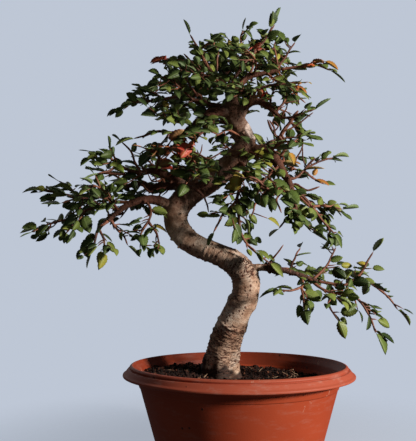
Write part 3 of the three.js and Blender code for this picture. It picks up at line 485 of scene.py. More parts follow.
# Single leaves that have turned: the fork of the stalk, the blade's foot, its tip, and how far they are
# gone, from 0.3 for yellowish green and 0.45 for yellow to 0.9 for red.
TURNED_LEAVES = [
    ((53, -7, 315), (53.4, -7, 314.7), (64.1, -8.5, 316.7), 0.78),
    ((63, -9, 316), (62.4, -8.7, 318.4), (74.6, -10.2, 318.6), 0.72),
    ((72, -10, 313), (73, -10, 318.7), (84, -11.5, 309.3), 0.6),
    ((44, -24, 291), (44.3, -24.5, 291.2), (55.9, -26, 285.6), 0.66),
    ((16, -5, 330), (15.1, -6.7, 329.9), (20.9, -8.2, 335.4), 0.92),
    ((18, 6, 336), (17.7, 4, 334.9), (22.8, 2.5, 336.9), 0.9),
    ((17, -5, 332), (13.4, -7, 332.4), (9.9, -8.5, 329), 0.85),
    ((-61, 17, 333), (-63.6, 17, 329.8), (-74.1, 15.5, 330.1), 0.86),
    ((-61, 17, 333), (-63.6, 17, 329.8), (-60.9, 15.5, 335.6), 0.9),
    ((-37, -38, 240), (-40.8, -47, 231.8), (-47.2, -48.5, 234.8), 0.95),
    ((-39, -31, 235), (-42.1, -35, 235.8), (-40.5, -36.5, 232.2), 0.95),
    ((-37, -39, 234), (-39.5, -43, 235.2), (-32, -44.5, 239.4), 0.76),
    ((-50, -1, 229), (-51.6, -5, 227.8), (-63.8, -6.5, 230), 0.93),
    ((-50, 0, 226), (-51.6, -4.3, 225.4), (-57.2, -5.8, 221.8), 0.74),
    ((20, -20, 291), (21.3, -22, 287.1), (25.1, -23.5, 284.1), 0.95),
    ((20, -20, 291), (22.1, -22, 285.5), (18.7, -23.5, 282.4), 0.95),
    ((34, 32, 300), (28.7, 30, 301.4), (32.1, 28.5, 299), 0.9),
    ((-103, -26, 160), (-105.5, -26.5, 159.5), (-104.9, -28, 146.5), 0.42),
    ((66, 16, 225), (66.5, 16, 226.5), (69.8, 14.5, 233.2), 0.6),
    ((70, 18, 224), (68.6, 18.3, 222.6), (74.3, 16.8, 221.5), 0.62),
    ((42, 16, 249), (44.8, 11.7, 246.5), (51.1, 10.2, 235.7), 0.55),
    ((55, 43, 244), (54.2, 39.3, 244.6), (60.3, 37.8, 242.4), 0.6),
    ((9, -43, 186), (19.7, -45.3, 181.6), (29.7, -46.8, 176.3), 0.42),
    ((2.5, -17, 217), (-0.3, -27, 219.5), (-2.5, -28.5, 205), 0.49),
    ((18, -32, 232), (17.5, -37, 229), (23.4, -38.5, 227), 0.3),
    ((14, -26, 235), (12.6, -32, 232.6), (6.3, -33.5, 228.3), 0.3),
    ((18, -32, 232), (17.3, -38, 226.4), (9.6, -39.5, 222.9), 0.33),
    ((9, -18, 238), (7.8, -23.7, 237.2), (1.4, -25.2, 234.4), 0.32),
    ((-144, 40, 198), (-146.9, 38, 198.6), (-140.8, 36.5, 189.4), 0.45),
    ((-63, 18, 296), (-62.1, 15, 294), (-58.4, 13.5, 284.5), 0.5),
    ((50, -24, 294), (56.1, -26, 293.9), (59, -27.5, 291.7), 0.5),
    ((32, -6, 334), (33, -6, 337.3), (36.2, -7.5, 341.9), 0.3),
]
# Leaves that grow this near to a turned one, seen from the front, turn with it, but never quite so red.
TURNED_REACH = 4.6 * MM
TURNED_DEPTH = 5 * TURNED_REACH
NEIGHBOUR_TURNED = 0.82
TURNED_SPRAYS = {"up_left_red": 0.8, "front_yellow": 0.42}
# Any other leaf may have turned a little: how often, and how far.
CHANCE_TURNED = 0.02
CHANCE_AMOUNT = (0.3, 0.5)


# Draws and lines.

WORD = 0xFFFFFFFF
SCATTER = 2654435761


def seeded(seed):
    """A repeatable row of draws between 0 and 1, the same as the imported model's."""
    state = seed & WORD

    def draw():
        nonlocal state
        state = (state * 1664525 + 1013904223) & WORD
        return state / (WORD + 1)

    return draw


def leaf_draws(spray, stem, leaf, leaf_set=0):
    """A leaf's own row of draws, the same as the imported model's."""
    draw = seeded((4096 * leaf_set + 64 * spray + 16 * stem + leaf + 1) * SCATTER)
    draw()
    draw()
    return draw


def between(draw, low, high):
    return low + (high - low) * draw()


def blend(low, high, share):
    return low + (high - low) * share


def clamped(value):
    return min(1, max(0, value))


def bell(value, middle, reach):
    """1 at the middle, falling off smoothly with the distance from it."""
    return math.exp(-(((value - middle) / reach) ** 2))


class Way:
    """A smooth line through points, with places on it given by their share of its length."""

    STEPS = 200

    def __init__(self, points):
        self.points = [Vector(point) for point in points]
        marks = [self.at(i / self.STEPS) for i in range(self.STEPS + 1)]
        self.lengths = [0]
        for before, after in zip(marks, marks[1:]):
            self.lengths.append(self.lengths[-1] + (after - before).length)
        self.length = self.lengths[-1]

    def at(self, turn):
        """The centripetal curve's point at an even share of its corners."""
        last = len(self.points) - 1
        place = turn * last
        corner = min(int(place), last - 1)
        along = place - corner
        p1 = self.points[corner]
        p2 = self.points[corner + 1]
        p0 = self.points[corner - 1] if corner > 0 else 2 * p1 - p2
        p3 = self.points[corner + 2] if corner + 2 <= last else 2 * p2 - p1
        d0, d1, d2 = ((b - a).length ** 0.5 for a, b in ((p0, p1), (p1, p2), (p2, p3)))
        start = ((p1 - p0) / d0 - (p2 - p0) / (d0 + d1) + (p2 - p1) / d1) * d1
        end = ((p2 - p1) / d1 - (p3 - p1) / (d1 + d2) + (p3 - p2) / d2) * d1
        square = along * along
        cube = square * along
        return (
            p1
            + start * along
            + (3 * (p2 - p1) - 2 * start - end) * square
            + (2 * (p1 - p2) + start + end) * cube
        )

    def turn(self, share):
        """The share of the corners that lies at a share of the length."""
        goal = share * self.length
        step = min(max(bisect.bisect_right(self.lengths, goal) - 1, 0), self.STEPS - 1)
        before, after = self.lengths[step], self.lengths[step + 1]
        return (step + (goal - before) / (after - before)) / self.STEPS

    def point(self, share):
        return self.at(self.turn(share))

    def tangent(self, share):
        turn = self.turn(share)
        return (self.at(min(1, turn + 1e-4)) - self.at(max(0, turn - 1e-4))).normalized()


def in_metres(route):
    return [Vector(point[:3]) * MM for point in route]


# Meshes and pieces.

def evaluated(holder):
    """The mesh that an object gives with its modifiers, without the object."""
    bpy.context.collection.objects.link(holder)
    depsgraph = bpy.context.evaluated_depsgraph_get()
    mesh = bpy.data.meshes.new_from_object(holder.evaluated_get(depsgraph))
    source = holder.data
    bpy.data.objects.remove(holder)
    if isinstance(source, bpy.types.Curve):
        bpy.data.curves.remove(source)
    return mesh


def tubes(lines, sides):
    """Round closed tubes, each given as a list of centres and radii."""
    curve = bpy.data.curves.new("tubes", "CURVE")
    curve.dimensions = "3D"
    curve.bevel_depth = 1
    curve.bevel_resolution = sides // 2 - 2
    curve.use_fill_caps = True
    for line in lines:
        spline = curve.splines.new("POLY")
        spline.points.add(len(line) - 1)
        for spot, (centre, radius) in zip(spline.points, line):
            spot.co = (*centre, 1)
            spot.radius = radius
    mesh = evaluated(bpy.data.objects.new("tubes", curve))
    while mesh.uv_layers:
        mesh.uv_layers.remove(mesh.uv_layers[0])
    return mesh


def welded_tubes(lines, sides):
    """The tubes as one bmesh, with their caps welded on."""
    shape = bmesh.new()
    shape.from_mesh(tubes(lines, sides))
    bmesh.ops.remove_doubles(shape, verts=shape.verts[:], dist=TUBE_WELD)
    return shape


def mesh_of(name, shape):
    mesh = bpy.data.meshes.new(name)
    shape.to_mesh(mesh)
    shape.free()
    return mesh


def set_all(mesh, layer, value):
    mesh.attributes[layer].data.foreach_set("value", [value] * len(mesh.vertices))


def placed(name, data):
    made = bpy.data.objects.new(name, data)
    bpy.context.collection.objects.link(made)
    return made


def finished(name, shape, *finishes, smooth=True):
    """Makes a bmesh a piece of the tree: its mesh stays where it was modelled, on the root body."""
    mesh = mesh_of(name, shape)
    mesh.polygons.foreach_set("use_smooth", [smooth] * len(mesh.polygons))
    for finish in finishes:
        mesh.materials.append(finish)
    piece = placed(name, mesh)
    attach(piece, "root")
    return piece


# Material nodes.

def rgb(red, green, blue):
    return (red, green, blue, 1)


def plug(value, socket):
    """Links a value to a node's input, or sets the input to a number or colour."""
    if isinstance(value, Value):
        socket.id_data.links.new(value.socket, socket)
    else:
        socket.default_value = value


def node(tree, kind, settings=None, **inputs):
    made = tree.nodes.new("ShaderNode" + kind)
    for key, value in (settings or {}).items():
        setattr(made, key, value)
    for key, value in inputs.items():
        plug(value, made.inputs[key])
    return made


class Value:
    """A node's output. Values add up, multiply and so on as numbers do, each time by a node."""

    def __init__(self, socket):
        self.socket = socket

    def node(self, kind, output, settings=None, **inputs):
        """An output of a new node in the same tree."""
        return Value(node(self.socket.id_data, kind, settings, **inputs).outputs[output])

    def maths(self, operation, *others):
        made = node(self.socket.id_data, "Math", {"operation": operation})
        for value, socket in zip((self, *others), made.inputs):
            plug(value, socket)
        return Value(made.outputs[0])

    def __add__(self, other):
        return self.maths("ADD", other)

    def __sub__(self, other):
        return self.maths("SUBTRACT", other)

    def __mul__(self, other):
        return self.maths("MULTIPLY", other)

    def __pow__(self, other):
        return self.maths("POWER", other)

    def __abs__(self):
        return self.maths("ABSOLUTE")

    def step(self, low, high):
        """0 under low and 1 over high, with a soft step between."""
        made = node(self.socket.id_data, "MapRange", {"interpolation_type": "SMOOTHSTEP"}, Value=self)
        made.inputs["From Min"].default_value = low
        made.inputs["From Max"].default_value = high
        return Value(made.outputs["Result"])

    def ramp(self, *stops):
        """A colour for each value. Each stop is its place and its red, green and blue."""
        made = node(self.socket.id_data, "ValToRGB", Fac=self)
        elements = made.color_ramp.elements
        while len(elements) < len(stops):
            elements.new(1)
        for element, (place, *colour) in zip(elements, stops):
            element.position = place
            element.color = rgb(*colour)
        return Value(made.outputs["Color"])

    def coated(self, share, coat):
        """This colour with a share of another over it."""
        made = node(self.socket.id_data, "Mix", {"data_type": "RGBA"})
        for value, index in ((share, 0), (self, 6), (coat, 7)):
            plug(value, made.inputs[index])
        return Value(made.outputs[2])

    def noise(self, scale, detail=3, roughness=0.5, distortion=0):
        return self.node("TexNoise", "Fac", Vector=self, Scale=scale, Detail=detail, Roughness=roughness,
                         Distortion=distortion)

    def cells(self, scale):
        """The distance from the middles of scattered cells."""
        return self.node("TexVoronoi", "Distance", {"feature": "F1"}, Vector=self, Scale=scale)

    def stretched(self, *scale):
        return self.node("Mapping", "Vector", Vector=self, Scale=scale)

    def parts(self):
        return [self.node("SeparateXYZ", axis, Vector=self) for axis in "XYZ"]


class Finish:
    """A material in the making. Its place is where a point lies on the piece, in object coordinates."""

    def __init__(self, name, roughness, specular):
        self.made = bpy.data.materials.new(name)
        self.made.use_nodes = True
        self.tree = self.made.node_tree
        self.shader = self.tree.nodes["Principled BSDF"]
        self.shader.inputs["Roughness"].default_value = roughness
        self.shader.inputs["Specular IOR Level"].default_value = specular
        self.place = Value(node(self.tree, "TexCoord").outputs["Object"])

    def attribute(self, name, output="Fac"):
        return Value(node(self.tree, "Attribute", {"attribute_name": name}).outputs[output])

    def painted(self, colour, relief, depth, strength=1):
        """The material with its colour, and a relief that is depth metres high."""
        plug(colour, self.shader.inputs["Base Color"])
        bump = relief.node("Bump", "Normal", Height=relief, Distance=depth, Strength=strength)
        plug(bump, self.shader.inputs["Normal"])
        return self.made


# Finishes.

def terracotta_plastic():
    """Matt red-brown plastic with clouds of dust, pale scratches and specks of dirt. Its lip is paler, partly
    with dust and partly with a painted sheen, and its inner wall is darkened with painted shade."""
    plastic = Finish("terracotta_plastic", 0.5, 0.22)
    place = plastic.place
    cloud = place.noise(18)
    colour = cloud.ramp((0.3, 0.36, 0.049, 0.017), (0.7, 0.43, 0.068, 0.025))
    across, back, height = place.parts()
    reach = (across ** 2 + back ** 2) ** 0.5
    inside = reach.step(MOUTH_RADIUS + 0.5 * MM, MOUTH_RADIUS - 0.3 * MM) * height.step(0.061, 0.0615)
    # Painted shade: the inner wall is darkened, where the inside of the bowl lies in shade.
    colour = colour.coated(inside * 0.5, rgb(0.12, 0.022, 0.011))
    lip = height.step(0.0625, 0.064) - inside
    # Clouds of dust all over, and on the lip a paler coat that is partly dust and partly a painted sheen.
    dust_and_sheen = place.stretched(1, 1, 4).noise(60, 6, 0.7).step(0.5, 0.72)
    dust_and_sheen = dust_and_sheen * (lip * 0.3 + 0.25) + lip * 0.16
    colour = colour.coated(dust_and_sheen, rgb(0.46, 0.21, 0.16))
    swirl = place.stretched(1, 1, 0.45).noise(210, 2, 0.5, 1.5)
    scratch = swirl.step(0.66, 0.70) * place.noise(48, 1).step(0.6, 0.66)
    colour = colour.coated(scratch * 0.6, rgb(0.62, 0.36, 0.26))
    dirt = place.cells(120).step(0.13, 0.08) * place.noise(55, 2).step(0.54, 0.6)
    colour = colour.coated(dirt * 0.85, rgb(0.05, 0.02, 0.015))
    plug(cloud * 0.2 + 0.42, plastic.shader.inputs["Roughness"])
    return plastic.painted(colour, dirt * 0.6 + place.noise(900, 2) * 0.1, 0.4 * MM)


def potting_soil():
    """Crumbs and bed from black peat to red-brown bark, by each crumb's tone."""
    soil = Finish("potting_soil", 0.95, 0.25)
    crumb = soil.place.noise(420, 5, 0.65)
    tone = (crumb - 0.5) * 0.9 + soil.attribute("tone")
    colour = tone.ramp(
        (0.1, 0.006, 0.003, 0.0022), (0.45, 0.026, 0.010, 0.0065), (0.72, 0.11, 0.033, 0.018),
        (0.95, 0.22, 0.09, 0.045),
    )
    return soil.painted(colour, crumb, 0.6 * MM)


def pale_straw():
    straw = Finish("straw", 0.7, 0.3)
    fibre = straw.place.noise(700)
    colour = fibre.ramp((0.3, 0.22, 0.11, 0.06), (0.7, 0.50, 0.34, 0.22))
    return straw.painted(colour, fibre, 0.2 * MM)


def elm_bark():
    """Smooth pinkish beige bark with rows of short corky slits and red-brown pores. It is brown where it is
    young, darker brown high up, partly as bark and partly as painted shade under the crown, dark at the
    soil with dirt and with painted shade on its left, and pale on the sawn face."""
    bark = Finish("elm_bark", 0.72, 0.3)
    grain = bark.attribute("grain", "Vector")
    corky = bark.attribute("corky")
    colour = grain.noise(70, 4, 0.6).ramp(
        (0.33, 0.30, 0.165, 0.10), (0.48, 0.56, 0.375, 0.262), (0.62, 0.80, 0.645, 0.51),
    )
    streaks = grain.stretched(1, 1, 3).noise(300, 5, 0.7, 0.4)
    colour = colour.coated(streaks.step(0.50, 0.68), rgb(0.26, 0.14, 0.085))
    rust = grain.stretched(1, 1, 1.6).noise(95, 3, 0.6).step(0.52, 0.68)
    colour = colour.coated(rust * (corky * 0.6 + 0.25), rgb(0.27, 0.095, 0.04))
    colour = colour.coated(corky * 0.5, rgb(0.27, 0.15, 0.095))
    slits = grain.stretched(1, 1, 4.4).noise(290, 2, 0.55, 0.8)
    slit = (slits - (corky * -0.2 + 0.72)).step(0, 0.05)
    colour = colour.coated(slit * 0.95, rgb(0.075, 0.023, 0.012))
    pore = grain.cells(310).step(0.33, 0.2) * grain.noise(75, 1).step(0.44, 0.52)
    colour = colour.coated(pore * 0.92, rgb(0.12, 0.030, 0.014))
    young = bark.attribute("girth").step(7.8 * MM, 4.5 * MM)
    colour = colour.coated(young, streaks.ramp((0.35, 0.03, 0.013, 0.009), (0.65, 0.16, 0.068, 0.042)))
    _, _, height = bark.place.parts()
    # Darker brown high up: partly browner upper bark, partly painted shade that the crown casts.
    colour = colour.coated(height.step(0.185, 0.205) * 0.74, rgb(0.13, 0.046, 0.025))
    face = bark.place.noise(500, 2).ramp((0.3, 0.47, 0.35, 0.29), (0.7, 0.64, 0.52, 0.45))
    colour = colour.coated(bark.attribute("sawn"), face)
    # Dark foot: soil dirt, and painted shade on the trunk's unlit left side.
    dirt = streaks.ramp((0.42, 0.006, 0.003, 0.002), (0.62, 0.065, 0.024, 0.014))
    colour = colour.coated(bark.attribute("soiled_and_shaded"), dirt)
    return bark.painted(colour, streaks + slit * -1.2 + pore * 0.9, 0.7 * MM)


def twig_bark():
    """Red-brown bark with paler patches and flecks."""
    bark = Finish("twig_bark", 0.6, 0.35)
    fine = bark.place.noise(900)
    colour = bark.place.noise(60).ramp(
        (0.3, 0.055, 0.02, 0.013), (0.5, 0.165, 0.056, 0.031), (0.72, 0.36, 0.14, 0.075),
    )
    colour = colour.coated(fine.step(0.6, 0.72), rgb(0.38, 0.22, 0.14))
    return bark.painted(colour, fine, 0.3 * MM)


def elm_leaf(name):
    """Glossy toothed leaf: green by its tone, yellow to red as it turns, with pale veins."""
    leaf = Finish(name, 0.46, 0.3)
    turned = leaf.attribute("turned")
    across, along, _ = Value(node(leaf.tree, "UVMap", {"uv_map": "blade"}).outputs["UV"]).parts()
    across = abs(across - 0.5)
    side_veins = abs(((along + across * -0.75) * 25).maths("SINE")).step(0.28, 0.05)
    veins = (side_veins * 0.6).maths("MAXIMUM", across.step(0.05, 0.015))
    patch = leaf.place.noise(260) - 0.5
    green = (leaf.attribute("tone") + patch * 0.35).ramp(
        (0.1, 0.034, 0.058, 0.016), (0.5, 0.094, 0.140, 0.028), (0.9, 0.225, 0.262, 0.048),
    )
    late = (turned + patch * 0.25).ramp(
        (0.3, 0.15, 0.22, 0.03), (0.44, 0.36, 0.32, 0.045), (0.58, 0.44, 0.21, 0.035),
        (0.72, 0.52, 0.13, 0.045), (0.9, 0.46, 0.045, 0.032),
    )
    colour = green.coated(turned.step(0.15, 0.4), late)
    colour = colour.coated(veins * 0.55, colour.coated(0.5, rgb(0.26, 0.34, 0.12)))
    under = colour.coated(0.45, rgb(0.20, 0.28, 0.13))
    topside = leaf.attribute("topside").step(0.35, 0.5)
    return leaf.painted(under.coated(topside, colour), veins, 0.25 * MM, 0.6)


# Bowl.

LIP_EDGE = BOWL_HEIGHT - BAND_DROP
NECK = LIP_EDGE - 4 * MM
INNER_BEND = LIP_EDGE + 1.7 * MM
BODY_FOOT_RADIUS = FOOT_RADIUS + FOOT_ROUNDING
BODY_SLOPE = (NECK_RADIUS - BODY_FOOT_RADIUS) / (NECK - FOOT_ROUNDING)


def body_radius(height):
    return BODY_FOOT_RADIUS + BODY_SLOPE * (height - FOOT_ROUNDING)


def spun(profile, steps):
    """Spins a profile about the upright axis. Each corner is a radius, a height and its rounding."""
    shape = bmesh.new()
    corners = [shape.verts.new((radius, 0, height)) for radius, height, _ in profile]
    for before, after in zip(corners, corners[1:]):
        shape.edges.new((before, after))
    for corner, (_, _, rounding) in zip(corners, profile):
        if rounding:
            bmesh.ops.bevel(shape, geom=[corner], offset=rounding, offset_type="OFFSET", segments=4,
                            profile=0.5, affect="VERTICES", material=-1)
    bmesh.ops.spin(shape, geom=shape.verts[:] + shape.edges[:], cent=(0, 0, 0), axis=(0, 0, 1),
                   angle=2 * math.pi, steps=steps, use_merge=True)
    bmesh.ops.remove_doubles(shape, verts=shape.verts[:], dist=TURNED_WELD)
    bmesh.ops.recalc_face_normals(shape, faces=shape.faces[:])
    return shape


def bowl():
    """The bowl from the middle of its base, out over the foot, step, band, groove and mouth, and in again."""
    step = NECK - 5 * MM
    profile = [
        (0, 0.6 * MM, 0),
        (FOOT_RADIUS - 6 * MM, 0.6 * MM, 0),
        (FOOT_RADIUS - 5 * MM, 0, 0.4 * MM),
        (FOOT_RADIUS + 2 * MM, 0, 3 * MM),
        (body_radius(6 * MM), 6 * MM, 4.5 * MM),
        (body_radius(step) - 0.7 * MM, step, 0.25 * MM),
        (body_radius(step), step + 0.5 * MM, 0.25 * MM),
        (NECK_RADIUS, NECK, 1 * MM),
        (LIP_RADIUS - 2.2 * MM, LIP_EDGE - 0.8 * MM, 1 * MM),
        (LIP_RADIUS, LIP_EDGE - 0.6 * MM, 0.45 * MM),
        (LIP_RADIUS + 0.1 * MM, LIP_EDGE + 0.8 * MM, 0.5 * MM),
        (LIP_RADIUS - 1.6 * MM, LIP_EDGE + 1.9 * MM, 0.5 * MM),
        (LIP_RADIUS - 3.8 * MM, LIP_EDGE + 4.8 * MM, 0.3 * MM),
        (LIP_RADIUS - 5.7 * MM, LIP_EDGE + 5 * MM, 0.2 * MM),
        (LIP_RADIUS - 4.9 * MM, LIP_EDGE + 6.2 * MM, 0.4 * MM),
        (MOUTH_RADIUS + 1.5 * MM, BOWL_HEIGHT - 0.1 * MM, 0.9 * MM),
        (MOUTH_RADIUS, BOWL_HEIGHT, 0.7 * MM),
        (MOUTH_RADIUS - 1.4 * MM, BOWL_HEIGHT - 2.5 * MM, 0.8 * MM),
        (body_radius(INNER_BEND) - WALL, INNER_BEND, 0.8 * MM),
        (body_radius(FOOT_ROUNDING) - WALL, FOOT_ROUNDING + 1 * MM, 4 * MM),
        (FOOT_RADIUS - 3 * MM, WALL, 3 * MM),
        (0, WALL, 0),
    ]
    piece = finished("terracotta_bowl", spun(profile, BOWL_STEPS), terracotta_plastic())
    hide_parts("pot")


# Soil.

def soil_radius(height):
    """How far out the soil reaches at a height."""
    return body_radius(height) - WALL - SOIL_GAP


def soil_height(x, y):
    """The soil's height at a place: tilted, cloddy, and heaped on the left behind the trunk."""
    flat = Vector((x, y, 0))
    clods = noise.fractal(flat * 130, 1, 2, 4) * 1.3 + noise.noise(flat * 40) * 1.6
    heap = 3.2 * MM * math.exp(-(((x + 40 * MM) / (20 * MM)) ** 2) - ((y - 22 * MM) / (26 * MM)) ** 2)
    return SOIL_AT_TRUNK - SOIL_TILT * x + clods * MM + heap


def soil_bed():
    edge = soil_radius(SOIL_AT_TRUNK)
    profile = [
        (0, WALL + SOIL_GAP, 0),
        (FOOT_RADIUS - 3 * MM, WALL + SOIL_GAP, 0),
        (soil_radius(FOOT_ROUNDING), FOOT_ROUNDING + 1 * MM, 0),
        (edge, SOIL_AT_TRUNK, 0),
    ]
    profile += [(edge * ring / SOIL_RINGS, SOIL_AT_TRUNK, 0) for ring in reversed(range(SOIL_RINGS))]
    bed = spun(profile, SOIL_STEPS)
    for vert in bed.verts:
        x, y, z = vert.co
        if z < SOIL_AT_TRUNK - 1 * MM:
            continue
        height = soil_height(x, y)
        reach = soil_radius(height) / edge if math.hypot(x, y) > edge - 1 * MM else 1
        vert.co = (x * reach, y * reach, height)
    return bed


def crumb_pattern(draw):
    """A jagged crumb of bark or peat."""
    crumb = bmesh.new()
    bmesh.ops.create_icosphere(crumb, subdivisions=1, radius=1)
    for vert in crumb.verts:
        vert.co *= between(draw, 0.55, 1.35)
    mesh = mesh_of("crumb", crumb)
    mesh.attributes.new("tone", "FLOAT", "POINT")
    return mesh


def potting_mix():
    """The soil with its crumbs: one in ten is a paler chip of bark."""
    bed = soil_bed()
    tone = bed.verts.layers.float.new("tone")
    for vert in bed.verts:
        vert[tone] = 0.3
    draw = seeded(21)
    crumbs = [crumb_pattern(draw) for _ in range(CRUMB_PATTERNS)]
    for _ in range(CRUMBS):
        angle = between(draw, 0, 2 * math.pi)
        distance = (body_radius(SOIL_AT_TRUNK) - WALL - 1.5 * MM) * math.sqrt(draw())
        x, y = distance * math.cos(angle), distance * math.sin(angle)
        size = MM * (0.38 + 1.3 * draw() ** 3)
        place = Matrix.Translation((x, y, soil_height(x, y) + size * between(draw, -0.1, 0.6)))
        turn = Euler([between(draw, 0, 6) for _ in range(3)]).to_matrix().to_4x4()
        stretch = Matrix.Diagonal([size * between(draw, 0.45, 1.7) for _ in range(3)] + [1])
        lump = crumbs[int(draw() * len(crumbs))].copy()
        lump.transform(place @ turn @ stretch)
        set_all(lump, "tone", 0.05 + 0.5 * draw() if draw() < 0.9 else between(draw, 0.6, 0.9))
        bed.from_mesh(lump)
        bpy.data.meshes.remove(lump)
    piece = finished("potting_mix", bed, potting_soil(), smooth=False)
    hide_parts("soil")


def straws():
    """Bent straws that lie on the soil, with one end raised."""
    draw = seeded(22)
    lines = []
    for x, y, count, reach in STRAW_PATCHES:
        for _ in range(count):
            start = Vector((x + between(draw, -6, 6), y + between(draw, -6, 6), 0)) * MM
            heading = between(draw, 0, 2 * math.pi)
            length = between(draw, 0.4, 1) * reach * MM
            rise = between(draw, -0.1, 0.9)
            line = []
            for corner in range(STRAW_CORNERS):
                share = corner / (STRAW_CORNERS - 1)
                bend = heading + 0.6 * share
                spot = start + Vector((math.cos(bend), math.sin(bend), 0)) * length * share
                spot.z = soil_height(spot.x, spot.y) + (0.8 + rise * share * reach * 0.6) * MM
                line.append((spot, blend(0.32, 0.16, share) * MM))
            lines.append(line)
    finished("straws", welded_tubes(lines, 6), pale_straw())


# Wood.

Ring = namedtuple("Ring", "centre tangent normal radius share")


class Limb:
    """A tapered length of wood with rings along it, for its bark to follow."""

    def __init__(self, route, radii, offset):
        self.way = Way(in_metres(route))
        self.radii = radii
        self.offset = offset
        self.count = max(2, round(self.way.length / LIMB_STEP))
        self.rings = []
        tangent = self.way.tangent(0)
        flattest = min(range(3), key=lambda axis: abs(tangent[axis]))
        helper = Vector([1 if axis == flattest else 0 for axis in range(3)])
        normal = tangent.cross(tangent.cross(helper).normalized())
        for step in range(self.count + 1):
            share = step / self.count
            ahead = self.way.tangent(share)
            normal = (tangent.rotation_difference(ahead) @ normal).normalized()
            tangent = ahead
            self.rings.append(
                Ring(self.way.point(share), tangent, normal.copy(), self.radius(share), share)
            )

    def radius(self, share):
        place = self.way.turn(share) * (len(self.radii) - 1)
        before = min(int(place), len(self.radii) - 2)
        return blend(self.radii[before], self.radii[before + 1], place - before) * MM


def limbs():
    """The trunk and then the boughs. Their offsets keep the grain of one from repeating on the next."""
    made = [Limb(TRUNK, [point[3] for point in TRUNK], 0)]
    for number, (thick, thin, route, _) in enumerate(BOUGHS.values()):
        steps = len(route) - 1
        radii = [blend(thick, thin, i / steps) for i in range(steps + 1)]
        made.append(Limb(route, radii, 0.7 + 0.31 * number))
    return made


def spurs(parts, draw):
    """Short knobs and cut stubs on the boughs and the upper trunk."""
    lines = []
    for limb in parts:
        first = 0.45 if limb is parts[0] else 0.1
        for _ in range(round(limb.way.length / SPUR_SPACING)):
            share = between(draw, first, 0.97)
            ring = limb.rings[round(share * limb.count)]
            out = Matrix.Rotation(between(draw, 0, 2 * math.pi), 3, ring.tangent) @ ring.normal
            lean = (out + ring.tangent * between(draw, -0.2, 0.7)).normalized()
            length = ring.radius + between(draw, 0.8, 3.2) * MM
            size = min(ring.radius * 0.6, between(draw, 0.9, 1.6) * MM)
            lines.append([(ring.centre, size * 1.3), (ring.centre + lean * length * 0.7, size * 1.2),
                          (ring.centre + lean * length, size * 0.8)])
    return lines


def wood():
    """Trunk, boughs and their knobs as one skin, with the bark's relief worked into it."""
    parts = limbs()
    lines = [[(ring.centre, ring.radius) for ring in limb.rings] for limb in parts]
    lines += spurs(parts, seeded(31))
    rough = bpy.data.objects.new("rough_wood", tubes(lines, LIMB_SIDES))
    remesh = rough.modifiers.new("skin", "REMESH")
    remesh.mode = "VOXEL"
    remesh.voxel_size = BARK_GRAIN
    shape = bmesh.new()
    shape.from_mesh(evaluated(rough))
    for _ in range(SKIN_SMOOTHINGS):
        bmesh.ops.smooth_vert(shape, verts=shape.verts[:], factor=0.5, use_axis_x=True,
                              use_axis_y=True, use_axis_z=True)
    shape.normal_update()
    bark_relief(shape, parts)
    piece = finished("elm_wood", shape, elm_bark())
    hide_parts("trunk")


def bark_relief(shape, parts):
    """Works lobes, rings and corky ridges into the skin, and notes what the bark's finish follows."""
    grain = shape.verts.layers.float_vector.new("grain")
    layers = [shape.verts.layers.float.new(name) for name in ("girth", "corky", "sawn", "soiled_and_shaded")]
    rings = [(limb, ring) for limb in parts for ring in limb.rings]
    finder = kdtree.KDTree(len(rings))
    for number, (_, ring) in enumerate(rings):
        finder.insert(ring.centre, number)
    finder.balance()
    stub = in_metres(BOUGHS["sawn_stub"][2])
    stub_way = (stub[-1] - stub[0]).normalized()
    shallow, deep = FORK_MIX
    moves = []
    for vert in shape.verts:
        near = finder.find_n(vert.co, NEAR_RINGS)
        depths = [(distance - rings[number][1].radius, number) for _, number, distance in near]
        limb, ring = rings[min(depths)[1]]
        girth = max(
            blend(rings[number][1].radius, ring.radius, clamped((depth - shallow) / (deep - shallow)))
            for depth, number in depths
        )
        out = vert.co - ring.centre
        angle = math.atan2(out.dot(ring.tangent.cross(ring.normal)), out.dot(ring.normal))
        along = ring.share * limb.way.length + out.dot(ring.tangent) + limb.offset
        here = Vector((ring.radius * math.cos(angle), ring.radius * math.sin(angle), along))
        height = vert.co.z / MM
        left = (ring.centre.x - vert.co.x) / ring.radius
        trunk = limb is parts[0]
        lift = noise.noise(here * 90) * 0.5 * MM * min(1, ring.radius / (8 * MM))
        if trunk:
            flare = max(0, 1 - height / FLARED_UP_TO)
            lift += ring.radius * 0.26 * flare * math.cos(5 * angle + 0.6)
            lobes = math.sin(3 * angle + 0.11 * height) * math.sin(0.19 * height + angle)
            lift += ring.radius * 0.05 * lobes
            lift += ring_scar(along, here) * 0.5 * MM
        corky = corkiness(height, left, here) if trunk else BOUGH_CORKINESS
        ridge = 1 - abs(noise.noise(Vector((here.x * 55, here.y * 55, here.z * 380))))
        lift += (ridge ** 5 - 0.45) * 0.9 * MM * corky
        to_face = vert.co - stub[-1]
        sawn = clamped((to_face.dot(stub_way) / MM + 0.9) * 2)
        sawn *= clamped((8 * MM - to_face.length) / MM)
        # Dark foot: dirt near the soil, reaching higher on the trunk's left as painted shade on its unlit
        # side.
        soiled_and_shaded = clamped((SOILED_AND_SHADED_UP_TO - height + 4 * left) / 3.5 + noise.noise(here * 150) * 2.2)
        vert[grain] = here
        for layer, value in zip(layers, (girth, corky, sawn, soiled_and_shaded * 0.97)):
            vert[layer] = value
        moves.append(lift * (1 - sawn))
    for vert, lift in zip(shape.verts, moves):
        vert.co += vert.normal * lift


